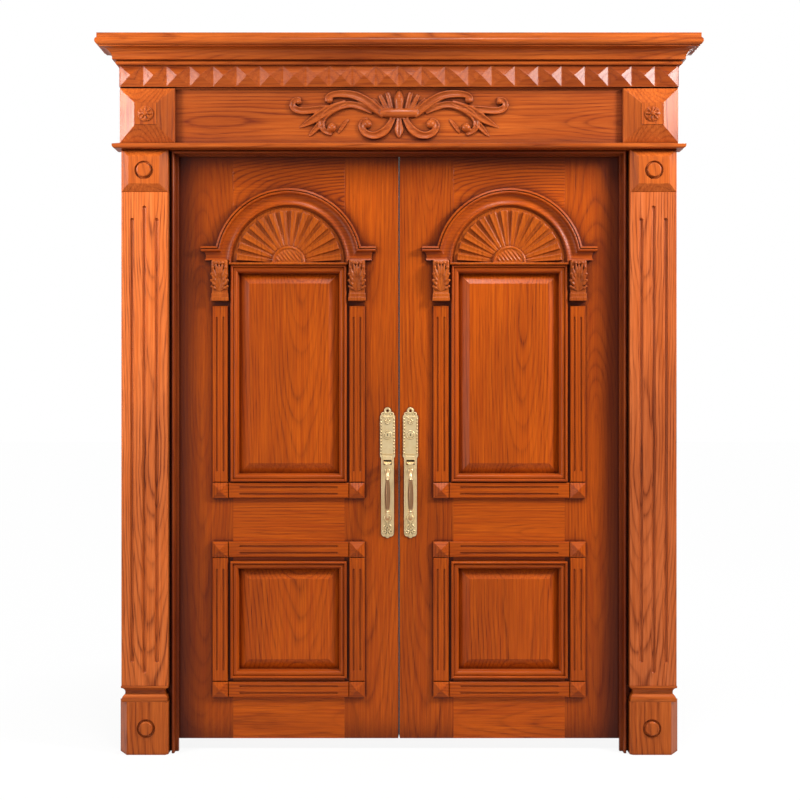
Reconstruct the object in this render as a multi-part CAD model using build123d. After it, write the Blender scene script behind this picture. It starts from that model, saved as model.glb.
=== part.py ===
from build123d import *
import math
import os

# A carved wooden entrance door with two leaves in its frame, in millimetres.
# X runs to the right, Y runs from the street side to the inside, Z runs up.
# The origin lies on the floor, on the centre line, at half the depth of the whole door.
# Every side piece is drawn on the right, at positive X, and mirrored to the left.

# Doorway
clear_half_width = 758.0        # from the centre line to the door stop
clear_height = 2045.0           # from the floor to the underside of the head stop
rebate = 12.0                   # step in which each leaf closes
stop_step = 10.0                # how far the stop stands in from the lip
stop_depth = 14.0
stop_gap = 2.0                  # between the stop and the closed leaf
lip_reach = 31.0                # the beaded lip stands this far in front of the wall
lip_width = 9.0
lip_head_step = 5.0
jamb_body = 92.0                # width of the jamb behind the wall line
head_body = 80.0
leaf_setback = 11.0             # from the wall line back to the face of the leaves

# Leaves
leaf_thickness = 50.0
leaf_side_gap = 3.0
meeting_gap = 5.0               # at the street side of the bevelled meeting edges
meeting_back_gap = 0.3
leaf_floor_gap = 40.0
ornament_centre = clear_half_width / 2 + 1.0    # centre line of the panels on each leaf
opening_half_width = 192.0      # half the width between stile and stile
upper_opening = (934.0, clear_height - 381.0)
lower_opening = (257.0, 643.5)
tongue_thickness = 14.0
groove_depth = 12.0
groove_play = 0.4
tongue_play = 2.0
field_inset = 55.0              # from the opening's edge to the raised field
field_rise = 16.0

# Panel mouldings
panel_moulding_width = 27.0
panel_moulding_lap = 8.0        # how far it laps over the stiles and rails

# Fluted surrounds
surround_half_width = 262.0
surround_strip = 53.0
surround_thickness = 12.0
surround_edge = 2.5
stud_rise = 13.0
stud_flat = 4.0
stud_gap = 2.0
upper_surround = (869.0, clear_height - 514.0)
lower_surround = (184.0, 719.0)
strip_groove_width = 6.0
strip_groove_depth = 3.0
strip_groove_spacing = 23.0
strip_groove_stop = 38.0

# Arch, sill and sunburst
arch_centre_z = clear_height - 366.0
arch_outer_radius = 255.0
arch_width = 62.0
arch_turned_width = 47.0        # part of the moulding that turns out into the ears
ear_half_span = 302.0
ear_rise = 56.0                 # top of the ears above the arch's centre
sill_height = 7.0
sill_reach = 24.0
sunburst_play = 0.3
sunburst_base = 5.0
ray_count = 14
ray_start = 62.0
ray_end = 176.0
ray_rise = 11.0
ray_fill = 0.70                 # share of its sector that a ray takes
hub_radius = 57.0
hub_rise = 12.0
hub_groove_count = 6

# Corbels
corbel_width = 60.0
corbel_foot_drop = 132.0        # from the arch's centre down to the foot
corbel_top_reach = 42.0
corbel_foot_reach = 27.0
corbel_foot_height = 26.0
corbel_rib_count = 3

# Pilasters, plinths and capitals
wall_line_reach = 49.0          # thickness of the pilasters on the wall
pilaster_inset = 28.0           # from the door stop out to the pilaster
pilaster_width = 159.0
pilaster_arris = 5.0
plinth_height = 180.0
plinth_cap_height = 55.0
plinth_outer_splay = 32.0
plinth_inner_splay = 9.0
plinth_back_reach = 13.0        # beyond the pilaster, at the wall
plinth_cap_inset = 9.0
capital_height = 146.0
capital_thickness = 45.0
capital_bevel = 27.0
capital_rise = 16.0
flute_width = 14.0
flute_pitch = 42.0
flute_depth = 6.5
flute_stops = (85.0, 95.0)      # from the shaft's foot and from its head
middle_flute_stops = (49.0, 53.0)
roundel_radius = 31.0
roundel_groove = 7.5
roundel_depth = 5.0
button_rise = 7.0

# Frieze, band and crown
necking_height = 21.0
necking_reach = 26.0
frieze_height = 184.0
frieze_board_thickness = 37.0
carving_unit = 1.0              # one step of the grid that the carving is drawn on
block_inset = 4.0               # from the door stop out to the corner block
block_thickness = 54.0
block_bevel = 54.0
block_rise = 25.0
block_step = 2.5
boss_radius = 26.0
boss_rise = 12.0
boss_petals = 8
band_overhang = 5.0             # beyond the pilasters
block_overhang = 3.0
band_height = 78.0
band_thickness = 53.0
band_quirk = 6.0
band_quirk_depth = 12.0
pyramid_count = 24
pyramid_gap = 5.0
pyramid_rise = 14.0
pyramid_margin = 2.0
pyramid_flat = 2.0
crown_reach = 68.0
crown_core_reach = 54.0
crown_moulding_height = 78.0
crown_board_height = 15.0
crown_board_reach = 62.0

# Hinges
hinge_foot_z = 260.0
hinge_head_drop = 205.0         # from the head stop down to the top hinge
hinge_length = 120.0
hinge_play = 0.3
barrel_radius = 8.0
barrel_offset = 8.5             # barrel centre behind the inner face of the leaf
pin_radius = 5.0
pin_clearance = 0.05
pin_engagement = 40.0
flap_thickness = 3.0
flap_width = 36.0

# Outer handle sets
handle_x = 39.5
plate_bottom = 744.0
plate_step = 1016.0
plate_top = 1156.0
plate_width = 44.0
plate_head_width = 52.0
plate_thickness = 3.0
plate_field = 2.0
plate_border = 5.0
finial_radius = 12.5
finial_hole = 4.5
drop_radius = 8.0
cylinder_z = 1087.0
cylinder_radius = 11.0
cylinder_reach = 4.0
keyhole_width = 3.0
keyhole_height = 9.0
grip_top = 962.0
grip_bottom = 800.0
grip_reach = 46.0
grip_radius = 6.0
grip_bend = 22.0
grip_swell = 9.5
grip_foot_radius = 13.0

# Locks
faceplate_thickness = 3.0
faceplate_width = 22.0
faceplate_height = 230.0
case_depth = 66.0
case_thickness = 16.0
case_height = 190.0
latch_z = 992.0
latch_size = (40.0, 12.0, 20.0)
dead_bolt_size = (50.0, 10.0, 30.0)
bolt_play = 0.3
lock_setback = 29.0             # middle of the lock behind the leaf's street face

# Thumb pieces
thumb_z = 992.0
thumb_width = 26.0
thumb_reach = 30.0
thumb_thickness = 4.0
thumb_droop = 7.0
thumb_barrel = 4.5
thumb_pin = 2.0
thumb_pin_clearance = 0.05
thumb_axis_depth = 7.0          # pivot behind the leaf's face
thumb_tail = 9.0
thumb_slot_height = 17.0
thumb_slot_play = 1.0
pocket_depth = 20.0
ear_plate_thickness = 3.0

# Inner handles
inner_plate_width = 44.0
inner_plate_height = 230.0
inner_plate_thickness = 4.0
lever_z = 992.0
lever_hub_radius = 11.0
lever_neck_radius = 8.0
lever_clearance = 0.05
lever_reach = 48.0
lever_length = 112.0
lever_thickness = 14.0
lever_play = 0.3

# Derived lines and planes
front_reach = crown_core_reach + crown_reach
leaf_rear_reach = leaf_setback + leaf_thickness
rear_reach = leaf_rear_reach + inner_plate_thickness + lever_reach
wall_y = (front_reach - rear_reach) / 2
leaf_front_y = wall_y + leaf_setback
leaf_rear_y = leaf_front_y + leaf_thickness
rebate_x = clear_half_width + rebate
rebate_z = clear_height + rebate
lip_x = clear_half_width + stop_step
lip_z = clear_height + lip_head_step
jamb_outer_x = clear_half_width + jamb_body
head_top_z = clear_height + head_body
necking_z = lip_z + lip_width + 1.0
capital_bottom = necking_z - capital_height
pilaster_inner = clear_half_width + pilaster_inset
block_inner = clear_half_width + block_inset
hinge_head_z = clear_height - hinge_head_drop
hinge_heights = (hinge_foot_z, (hinge_foot_z + hinge_head_z) / 2, hinge_head_z)
ear_top_z = arch_centre_z + ear_rise
corbel_foot_z = arch_centre_z - corbel_foot_drop
leaf_inner_x = meeting_gap / 2
leaf_outer_x = rebate_x - leaf_side_gap
leaf_top_z = rebate_z - leaf_side_gap
opening_x = (ornament_centre - opening_half_width, ornament_centre + opening_half_width)
pilaster_outer = pilaster_inner + pilaster_width
pilaster_centre = pilaster_inner + pilaster_width / 2
plinth_back_outer = pilaster_outer + plinth_back_reach
band_half_width = pilaster_outer + band_overhang
block_width = pilaster_outer + block_overhang - block_inner
frieze_z = necking_z + necking_height
frieze_top_z = frieze_z + frieze_height
band_top_z = frieze_top_z + band_height
hinge_x = rebate_x - leaf_side_gap / 2
hinge_y = leaf_rear_y + barrel_offset
plate_front_y = leaf_front_y - plate_thickness
panel_margin = (leaf_thickness - tongue_thickness) / 2
thumb_axis_y = leaf_front_y + thumb_axis_depth
lock_y = leaf_front_y + lock_setback
faceplate_x = leaf_inner_x - 1.0


# Drawing helpers

def front_plane(y):
    """Plane that faces the street at depth y: local x is X and local y is Z."""
    return Plane(origin=(0, y, 0), x_dir=(1, 0, 0), z_dir=(0, -1, 0))


def section_plane(x):
    """Plane across the width at x: local x is Y and local y is Z."""
    return Plane(origin=(x, 0, 0), x_dir=(0, 1, 0), z_dir=(1, 0, 0))


def block(x_range, y_range, z_range):
    """Box between two limits on each axis."""
    size = [abs(r[1] - r[0]) for r in (x_range, y_range, z_range)]
    low = [min(r) for r in (x_range, y_range, z_range)]
    return Pos(*low) * Box(*size, align=(Align.MIN, Align.MIN, Align.MIN))


def rounded_slot(x, z, length, width, y, depth, upright=True):
    """Cutter for a stopped groove with round ends, sunk from the plane at y."""
    turn = 90 if upright else 0
    outline = Pos(x, z) * Rot(0, 0, turn) * SlotOverall(length, width)
    return extrude(front_plane(y + depth) * outline, depth + 1)


def round_groove(start, end, radius, depth, y):
    """Cutter for a groove of round section with spoon ends, sunk from the plane at y."""
    sink = y - (radius - depth)
    foot = Vector(start[0], sink, start[1])
    head = Vector(end[0], sink, end[1])
    run = head - foot
    body = Plane(origin=foot, z_dir=run) * Cylinder(
        radius, run.length, align=(Align.CENTER, Align.CENTER, Align.MIN)
    )
    return [body, Pos(*foot) * Sphere(radius), Pos(*head) * Sphere(radius)]


def frustum(centre, size, inset, y, rise):
    """Bevelled field on the plane at y, rising towards the street, or away if rise is negative."""
    field = Wedge(size[0], abs(rise), size[1], inset[0], inset[1], size[0] - inset[0], size[1] - inset[1],
                  align=(Align.CENTER, Align.MIN, Align.CENTER))
    turn = 180 if rise > 0 else 0
    return Pos(centre[0], y, centre[1]) * Rot(turn, 0, 0) * field


def end_point(step):
    return step[1] if isinstance(step[0], tuple) else step


def outline_edges(steps, place):
    """Edges through the steps: a pair is a line's end, a pair of pairs an arc's middle and end."""
    edges = []
    last = steps[0]
    for step in steps[1:]:
        end = end_point(step)
        if end is step:
            edges.append(Line(place(last), place(end)))
        else:
            edges.append(ThreePointArc(place(last), place(step[0]), place(end)))
        last = end
    return edges


def closed_profile(steps, place=lambda point: point):
    """Face inside a stepped outline that ends where it starts."""
    return make_face(outline_edges(steps + [steps[0]], place))


def moulded_board(x_half, y_front, z_bottom, steps, x_centre=0.0):
    """Board from y_front to the wall whose front and both ends carry a mitred moulding."""
    top = end_point(steps[-1])[1]
    front_steps = steps + [(y_front - wall_y, top), (y_front - wall_y, 0)]
    front = closed_profile(front_steps, lambda p: (y_front - p[0], z_bottom + p[1]))
    width = 2 * (x_half + crown_reach)
    along = extrude(section_plane(x_centre - width / 2) * front, width)
    end_steps = steps + [(-x_half, top), (-x_half, 0)]
    half = closed_profile(end_steps, lambda p: (x_half + p[0], z_bottom + p[1]))
    across = front_plane(wall_y) * Pos(x_centre, 0) * (half + mirror(half, Plane.YZ))
    return along & extrude(across, 4 * crown_reach)


def mitred_frame(x_range, z_range, steps, width, y):
    """Four lengths of moulding around a rectangle, each cut to 45 degrees at both ends."""
    (x0, x1), (z0, z1) = x_range, z_range
    corners = [Vector(x0, y, z0), Vector(x1, y, z0), Vector(x1, y, z1), Vector(x0, y, z1)]
    inner = [Vector(x0 + width, y, z0 + width), Vector(x1 - width, y, z0 + width),
             Vector(x1 - width, y, z1 - width), Vector(x0 + width, y, z1 - width)]
    lengths = []
    for i in range(4):
        j = (i + 1) % 4
        run = corners[j] - corners[i]
        inward = Vector(0, -1, 0).cross(run.normalized())
        section = Plane(origin=corners[i], x_dir=inward, z_dir=run) * closed_profile(steps)
        rail = extrude(section, run.length)
        trapezium = [corners[i], corners[j], inner[j], inner[i]]
        wedge = make_face(Polyline(*[(p.X, p.Z) for p in trapezium], close=True))
        prism = extrude(front_plane(y) * wedge, 2 * width, both=True)
        lengths.append(rail & prism)
    return lengths


def stroke(points, widths, heights, y, steps=7):
    """Carved stem with a rounded back along a smooth line on the plane at y."""
    line = Spline(*[Vector(px, 0, pz) for px, pz in points]) if len(points) > 2 else Line(
        *[Vector(px, 0, pz) for px, pz in points])
    sections = []
    for i in range(steps + 1):
        t = i / steps
        position = t * (len(widths) - 1)
        k = min(int(position), len(widths) - 2)
        share = position - k
        half = (widths[k] + (widths[k + 1] - widths[k]) * share) / 2
        rise = heights[k] + (heights[k + 1] - heights[k]) * share
        spot = line.position_at(t)
        along = line.tangent_at(t)
        plane = Plane(origin=(spot.X, y, spot.Z), x_dir=Vector(0, -1, 0).cross(along), z_dir=along)
        back = [(-half, 0), (-0.86 * half, 0.5 * rise), (-0.4 * half, 0.92 * rise),
                (0.4 * half, 0.92 * rise), (0.86 * half, 0.5 * rise), (half, 0)]
        sections.append((plane * make_face(Polyline(*back, close=True))).face())
    return loft(sections, ruled=True)


def dome(x, z, radius, rise, y):
    """Round boss with a softened edge on the plane at y."""
    edge = min(radius, rise) * 0.55
    outline = [(0, 0), (radius, 0), (radius, rise - edge),
               ((radius - 0.3 * edge, rise - 0.3 * edge), (radius - edge, rise)), (0, rise)]
    profile = Plane(origin=(x, y, z), x_dir=(1, 0, 0), z_dir=(0, 0, 1)) * closed_profile(
        outline, lambda p: (p[0], -p[1]))
    return revolve(profile, Axis((x, y, z), (0, 1, 0)), 360)


def mirrored(parts):
    """The same solids on the left side."""
    return [mirror(piece, Plane.YZ) for piece in parts]


# Frame

def jamb():
    lip_front = wall_y - lip_reach
    half_lip = lip_width / 2
    stop_back = leaf_front_y - stop_gap
    shoulder_z = lip_z + lip_width
    lip = closed_profile([
        (lip_x, wall_y), (lip_x, lip_front + half_lip),
        ((lip_x + half_lip, lip_front), (lip_x + lip_width, lip_front + half_lip)),
        (lip_x + lip_width, wall_y),
    ])
    body = closed_profile([
        (clear_half_width, stop_back), (clear_half_width, stop_back - stop_depth),
        (lip_x, stop_back - stop_depth), (lip_x, wall_y), (jamb_outer_x, wall_y),
        (jamb_outer_x, leaf_rear_y), (rebate_x, leaf_rear_y), (rebate_x, stop_back),
    ])
    upright = extrude(body, shoulder_z) + extrude(lip, shoulder_z)
    top = block((rebate_x, jamb_outer_x), (wall_y, leaf_rear_y), (shoulder_z, head_top_z))
    return upright + top - flap_recesses((rebate_x, rebate_x + flap_thickness))


def head_jamb(jambs):
    lip_front = wall_y - lip_reach
    half_lip = lip_width / 2
    stop_back = leaf_front_y - stop_gap
    section = closed_profile([
        (lip_front + half_lip, lip_z + lip_width),
        ((lip_front, lip_z + half_lip), (lip_front + half_lip, lip_z)),
        (stop_back - stop_depth, lip_z), (stop_back - stop_depth, clear_height),
        (stop_back, clear_height), (stop_back, rebate_z), (leaf_rear_y, rebate_z),
        (leaf_rear_y, head_top_z), (wall_y, head_top_z), (wall_y, lip_z + lip_width),
    ])
    return extrude(section_plane(-rebate_x) * section, 2 * rebate_x) - jambs


def roundel(x, z, y):
    """Ring groove with a domed button: the cutter and the button."""
    button_radius = roundel_radius - roundel_groove
    ring = Plane(origin=(x, y, z)) * closed_profile([
        (roundel_radius, -1), (roundel_radius, 0),
        ((roundel_radius - roundel_groove / 2, roundel_depth), (button_radius, 0)),
        (button_radius, -1),
    ])
    cutter = revolve(ring, Axis((x, y, z), (0, 1, 0)), 360)
    return cutter, dome(x, z, button_radius, button_rise, y)


def plinth():
    front_y = wall_y - wall_line_reach
    front_x = (pilaster_inner + plinth_inner_splay, plinth_back_outer - plinth_outer_splay)
    plan = closed_profile([
        (front_x[0], front_y), (front_x[1], front_y), (plinth_back_outer, wall_y),
        (pilaster_inner, wall_y), (pilaster_inner, front_y + plinth_inner_splay),
    ])
    cutter, button = roundel(sum(front_x) / 2, plinth_height / 2, front_y)
    return extrude(plan, plinth_height) - cutter + button


def plinth_cap():
    """Scotia between a wide fillet and a roll, returned on both sides."""
    steps = [(9, 0), (10, 4), ((8, 17), (0, 26)), (0, 30), ((3, 42), (12, 48)), (12, plinth_cap_height)]
    waist_half = pilaster_width / 2 - plinth_cap_inset - 3
    waist_y = wall_y - wall_line_reach + plinth_cap_inset
    return moulded_board(waist_half, waist_y, plinth_height, steps, pilaster_centre)


def pilaster():
    front_y = wall_y - wall_line_reach
    corner = pilaster_arris * (1 - math.sqrt(0.5))
    plan = closed_profile([
        (pilaster_inner, wall_y), (pilaster_inner, front_y),
        (pilaster_outer - pilaster_arris, front_y),
        ((pilaster_outer - corner, front_y + corner), (pilaster_outer, front_y + pilaster_arris)),
        (pilaster_outer, wall_y),
    ])
    foot_z = plinth_height + plinth_cap_height
    shaft = extrude(Plane.XY.offset(foot_z) * plan, capital_bottom - foot_z)
    radius = (flute_width ** 2 / 4 + flute_depth ** 2) / (2 * flute_depth)
    for i, stops in enumerate((flute_stops, middle_flute_stops, flute_stops)):
        x = pilaster_centre + (i - 1) * flute_pitch
        ends = ((x, foot_z + stops[0]), (x, capital_bottom - stops[1]))
        shaft -= round_groove(*ends, radius, flute_depth, front_y)
    return shaft


def capital():
    z_range = (capital_bottom, necking_z)
    centre = (pilaster_centre, sum(z_range) / 2)
    base_y = wall_y - capital_thickness
    size = (pilaster_width, z_range[1] - z_range[0])
    body = block((pilaster_inner, pilaster_outer), (base_y, wall_y), z_range)
    body += frustum(centre, size, (capital_bevel, capital_bevel), base_y, capital_rise)
    cutter, button = roundel(*centre, base_y - capital_rise)
    return body - cutter + button


def necking():
    """Moulded shelf between the capitals and the frieze."""
    lip = necking_reach
    steps = [(lip - 7, 0), ((lip - 2, 3), (lip, 8)), (lip, 14), (4, necking_height)]
    return moulded_board(pilaster_outer, wall_y - wall_line_reach, necking_z, steps)


def frieze_board():
    x_range = (-block_inner, block_inner)
    return block(x_range, (wall_y - frieze_board_thickness, wall_y), (frieze_z, frieze_top_z))


def frieze_block():
    base_y = wall_y - block_thickness
    centre = (block_inner + block_width / 2, frieze_z + frieze_height / 2)
    x_range = (block_inner, block_inner + block_width)
    body = block(x_range, (base_y, wall_y), (frieze_z, frieze_top_z))
    inset_z = block_bevel - (block_width - frieze_height) / 2
    body += frustum(centre, (block_width, frieze_height), (block_bevel, inset_z), base_y, block_rise)
    side = block_width - 2 * block_bevel - 2 * block_step
    face_y = base_y - block_rise
    return body + extrude(front_plane(face_y) * Pos(*centre) * Rectangle(side, side), block_step)


def frieze_boss():
    """Turned rosette with a ring of petals."""
    x = block_inner + block_width / 2
    z = frieze_z + frieze_height / 2
    y = wall_y - block_thickness - block_rise - block_step
    disc_rise = boss_rise / 3
    disc = dome(x, z, boss_radius, disc_rise, y)
    petals = []
    for i in range(boss_petals):
        angle = 2 * math.pi * i / boss_petals
        line = [(x + r * math.cos(angle), z + r * math.sin(angle)) for r in (5, boss_radius - 3)]
        petals.append(stroke(line, (5, 12, 5), (5, 5, 2), y - disc_rise, steps=3))
    return disc + petals + dome(x, z, boss_radius / 3, boss_rise - disc_rise, y - disc_rise)


def pyramid_band():
    """Board with a row of low square pyramids."""
    front_y = wall_y - band_thickness
    x_range = (-band_half_width, band_half_width)
    board = block(x_range, (front_y, wall_y), (frieze_top_z + band_quirk, band_top_z))
    board += block(x_range, (front_y + band_quirk_depth, wall_y), (frieze_top_z, band_top_z))
    pitch = 2 * band_half_width / pyramid_count
    size = (pitch - pyramid_gap, band_height - band_quirk - 2 * pyramid_margin)
    inset = [(side - pyramid_flat) / 2 for side in size]
    z = (frieze_top_z + band_quirk + band_top_z) / 2
    pyramids = []
    for i in range(pyramid_count):
        x = -band_half_width + (i + 0.5) * pitch
        pyramids.append(frustum((x, z), size, inset, front_y, pyramid_rise))
    return board + pyramids


def crown():
    """Core, three mitred lengths of cornice moulding, and the top board."""
    core_y = wall_y - crown_core_reach
    z_range = (band_top_z, band_top_z + crown_moulding_height)
    core = block((-band_half_width, band_half_width), (core_y, wall_y), z_range)
    steps = [
        (5, 0), ((11, 7), (5, 14)), (20, 16), ((27, 40), (50, 50)), (55, 50), (55, 54),
        (59, 54), ((crown_reach, 66), (crown_board_reach, crown_moulding_height)),
    ]
    whole = moulded_board(band_half_width, core_y, band_top_z, steps) - core
    tip = band_half_width + crown_reach
    tip_y = core_y - crown_reach
    front = [(-band_half_width, core_y), (-tip, tip_y), (tip, tip_y), (band_half_width, core_y)]
    side = [(band_half_width, core_y), (tip, tip_y), (tip, wall_y), (band_half_width, wall_y)]
    front_cut = extrude(Plane.XY.offset(z_range[0]) * closed_profile(front), crown_moulding_height)
    side_cut = extrude(Plane.XY.offset(z_range[0]) * closed_profile(side), crown_moulding_height)
    side_length = whole & side_cut
    board_half = band_half_width + crown_board_reach
    board_z = (z_range[1], z_range[1] + crown_board_height)
    board = block((-board_half, board_half), (core_y - crown_board_reach, wall_y), board_z)
    return core, [whole & front_cut, side_length] + mirrored([side_length]), board


def frieze_carving():
    """Carved foliage: a bound fan of petals between two scrolling stems, one half mirrored."""
    y = wall_y - frieze_board_thickness
    middle_z = frieze_z + frieze_height / 2
    unit = carving_unit

    def carved(line, widths, heights, steps):
        points = [(px * unit, middle_z + pz * unit) for px, pz in line]
        return stroke(points, [w * unit for w in widths], [h * unit for h in heights], y, steps)

    stems = [
        ([(20, -4), (34, -37), (61, -58), (87, -66), (114, -55), (129, -34), (124, -14)],
         (16, 24, 28, 27, 22, 18, 12), (11, 14, 16, 16, 15, 14, 12)),
        ([(56, 8), (84, 29), (108, 48), (146, 68), (184, 75), (222, 73), (246, 60)],
         (22, 30, 33, 30, 27, 22, 14), (11, 14, 16, 16, 15, 14, 12)),
        ([(98, 20), (128, 33), (160, 40), (200, 34), (236, 18), (260, -6), (262, -34), (248, -52)],
         (12, 20, 24, 26, 26, 22, 17, 12), (8, 11, 14, 15, 15, 14, 13, 11)),
        ([(186, 46), (228, 28), (266, 4), (304, -20), (341, -38)], (18, 28, 32, 26, 5), (9, 13, 15, 12, 4)),
        ([(226, 32), (262, 26), (300, 20), (334, 19), (356, 26), (362, 44), (350, 58)],
         (14, 22, 25, 24, 22, 20, 16), (9, 12, 14, 14, 14, 14, 13)),
        ([(258, -14), (280, -38), (306, -67)], (10, 28, 5), (8, 12, 4)),
        ([(174, -8), (192, -30), (208, -54)], (7, 18, 9), (6, 11, 6)),
    ]
    eyes = [(107, -24, 17), (238, 54, 14), (230, -37, 18), (342, 53, 12)]
    petals = [((22, 26), (35, 78)), ((36, 26), (60, 68)), ((50, 24), (83, 57))]
    half = [carved(line, widths, heights, 2 * len(line)) for line, widths, heights in stems]
    half += [carved(line, (12, 19, 6), (10, 14, 6), 4) for line in petals]
    half += [dome(ex * unit, middle_z + ez * unit, radius * unit, 15 * unit, y) for ex, ez, radius in eyes]
    bud = carved([(0, 22), (0, 90)], (22, 36, 30, 6), (12, 19, 16, 6), 6)
    drop = carved([(0, -2), (0, -72)], (14, 22, 38, 6), (10, 13, 16, 5), 6)
    binding = carved([(-63, 11), (63, 11)], (20, 32, 33, 32, 20), (12, 19, 20, 19, 12), 8)
    return bud.fuse(drop, binding, *half, *mirrored(half))


# Hinges

def flap_recesses(x_range):
    """Recesses for the hinge flaps in one edge."""
    y_range = (leaf_rear_y - flap_width, leaf_rear_y)
    return [block(x_range, y_range, (z - hinge_length / 2, z + hinge_length / 2)) for z in hinge_heights]


def hinge_halves():
    """Frame halves with their fixed pins, and the leaf halves that lift off them."""
    frame_halves = []
    leaf_halves = []
    half = hinge_length / 2
    for z in hinge_heights:
        low = (z - half, z - hinge_play / 2)
        high = (z + hinge_play / 2, z + half)
        flap_y = (leaf_rear_y - flap_width, leaf_rear_y)
        frame_x = (rebate_x, rebate_x + flap_thickness)
        leaf_x = (leaf_outer_x - flap_thickness, leaf_outer_x)
        lower = Pos(hinge_x, hinge_y, (low[0] + low[1]) / 2) * Cylinder(barrel_radius, low[1] - low[0])
        upper = Pos(hinge_x, hinge_y, (high[0] + high[1]) / 2) * Cylinder(barrel_radius, high[1] - high[0])
        pin_range = (low[1] - 1, z + pin_engagement)
        pin = Pos(hinge_x, hinge_y, sum(pin_range) / 2) * Cylinder(pin_radius, pin_range[1] - pin_range[0])
        bore_range = (high[0] - 1, z + pin_engagement + 1)
        bore = Pos(hinge_x, hinge_y, sum(bore_range) / 2) * Cylinder(
            pin_radius + pin_clearance, bore_range[1] - bore_range[0])
        frame_flap = block(frame_x, flap_y, (low[0], high[1])) + block(frame_x, (leaf_rear_y, hinge_y), low)
        leaf_flap = block(leaf_x, flap_y, (low[0], high[1])) + block(leaf_x, (leaf_rear_y, hinge_y), high)
        frame_halves.append(frame_flap + lower + pin)
        leaf_halves.append(leaf_flap + upper - bore)
    return frame_halves, leaf_halves


# Leaf joinery

def panel_grooves():
    """Grooves that hold the panel tongues, as cutters for the stiles and rails."""
    middle = (leaf_front_y + leaf_rear_y) / 2
    half = (tongue_thickness + groove_play) / 2
    x_range = (opening_x[0] - groove_depth, opening_x[1] + groove_depth)
    return [block(x_range, (middle - half, middle + half), (z0 - groove_depth, z1 + groove_depth))
            for z0, z1 in (lower_opening, upper_opening)]


def hinge_stile():
    body = block((opening_x[1], leaf_outer_x), (leaf_front_y, leaf_rear_y), (leaf_floor_gap, leaf_top_z))
    return body - panel_grooves() - flap_recesses((leaf_outer_x - flap_thickness, leaf_outer_x))


def meeting_stile():
    """Stile whose edge is bevelled so that the closed leaves all but touch at the back."""
    plan = closed_profile([
        (leaf_inner_x, leaf_front_y), (opening_x[0], leaf_front_y), (opening_x[0], leaf_rear_y),
        (meeting_back_gap / 2, leaf_rear_y),
    ])
    body = extrude(Plane.XY.offset(leaf_floor_gap) * plan, leaf_top_z - leaf_floor_gap)
    case, faceplate = lock_blocks()
    return body - panel_grooves() - thumb_pocket() - case - faceplate


def rail(z_range):
    return block(opening_x, (leaf_front_y, leaf_rear_y), z_range) - panel_grooves()


def raised_panel(z_range):
    """Panel with a tongue all round and a bevelled field on both faces."""
    reach = groove_depth - tongue_play
    front = leaf_front_y + panel_margin
    back = leaf_rear_y - panel_margin
    centre = (ornament_centre, sum(z_range) / 2)
    opening = (2 * opening_half_width, z_range[1] - z_range[0])
    shoulder = panel_moulding_width - panel_moulding_lap + 1
    size = (opening[0] - 2 * shoulder, opening[1] - 2 * shoulder)
    inset = (field_inset - shoulder, field_inset - shoulder)
    body = block((opening_x[0] - reach, opening_x[1] + reach), (front, back),
                 (z_range[0] - reach, z_range[1] + reach))
    body += frustum(centre, size, inset, front, field_rise)
    return body + frustum(centre, size, inset, back, -field_rise)


def panel_moulding(z_range):
    """Mitred moulding that laps over the frame and holds the panel's margin."""
    lap = panel_moulding_lap
    width = panel_moulding_width
    steps = [
        (0, 0), (0, 12), ((4, 17), (lap, 12)), (lap + 1, 9), ((19, 10), (width - 2, -3)),
        (width, -5), (width, -panel_margin), (lap, -panel_margin), (lap, 0),
    ]
    x_range = (opening_x[0] - lap, opening_x[1] + lap)
    return mitred_frame(x_range, (z_range[0] - lap, z_range[1] + lap), steps, width, leaf_front_y)


# Leaf ornament

def fluted_strip(x_range, z_range):
    """Flat strip with softened edges and two stopped grooves along it."""
    strip = block(x_range, (leaf_front_y - surround_thickness, leaf_front_y), z_range)
    strip = chamfer(strip.faces().sort_by(Axis.Y)[0].edges(), surround_edge)
    centre = (sum(x_range) / 2, sum(z_range) / 2)
    size = (x_range[1] - x_range[0], z_range[1] - z_range[0])
    upright = size[1] > size[0]
    length = max(size) - 2 * strip_groove_stop
    face_y = leaf_front_y - surround_thickness
    for side in (-1, 1):
        shift = side * strip_groove_spacing / 2
        x = centre[0] + (shift if upright else 0)
        z = centre[1] + (0 if upright else shift)
        strip -= rounded_slot(x, z, length, strip_groove_width, face_y, strip_groove_depth, upright)
    return strip


def stud(x, z):
    """Square block with a low pyramid."""
    half = surround_strip / 2
    face_y = leaf_front_y - surround_thickness
    base = block((x - half, x + half), (face_y, leaf_front_y), (z - half, z + half))
    inset = (surround_strip - stud_flat) / 2
    return base + frustum((x, z), (surround_strip, surround_strip), (inset, inset), face_y, stud_rise)


def surround(z_range, closed):
    """Strips and corner studs around a panel, open at the top where it meets the corbels."""
    outer = (ornament_centre - surround_half_width, ornament_centre + surround_half_width)
    columns = [(outer[0], outer[0] + surround_strip), (outer[1] - surround_strip, outer[1])]
    rows = [(z_range[0], z_range[0] + surround_strip)]
    if closed:
        rows.append((z_range[1] - surround_strip, z_range[1]))
    top = rows[1][0] - stud_gap if closed else z_range[1]
    pieces = [stud(sum(column) / 2, sum(row) / 2) for column in columns for row in rows]
    pieces += [fluted_strip(column, (rows[0][1] + stud_gap, top)) for column in columns]
    between = (columns[0][1] + stud_gap, columns[1][0] - stud_gap)
    return pieces + [fluted_strip(between, row) for row in rows]


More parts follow.
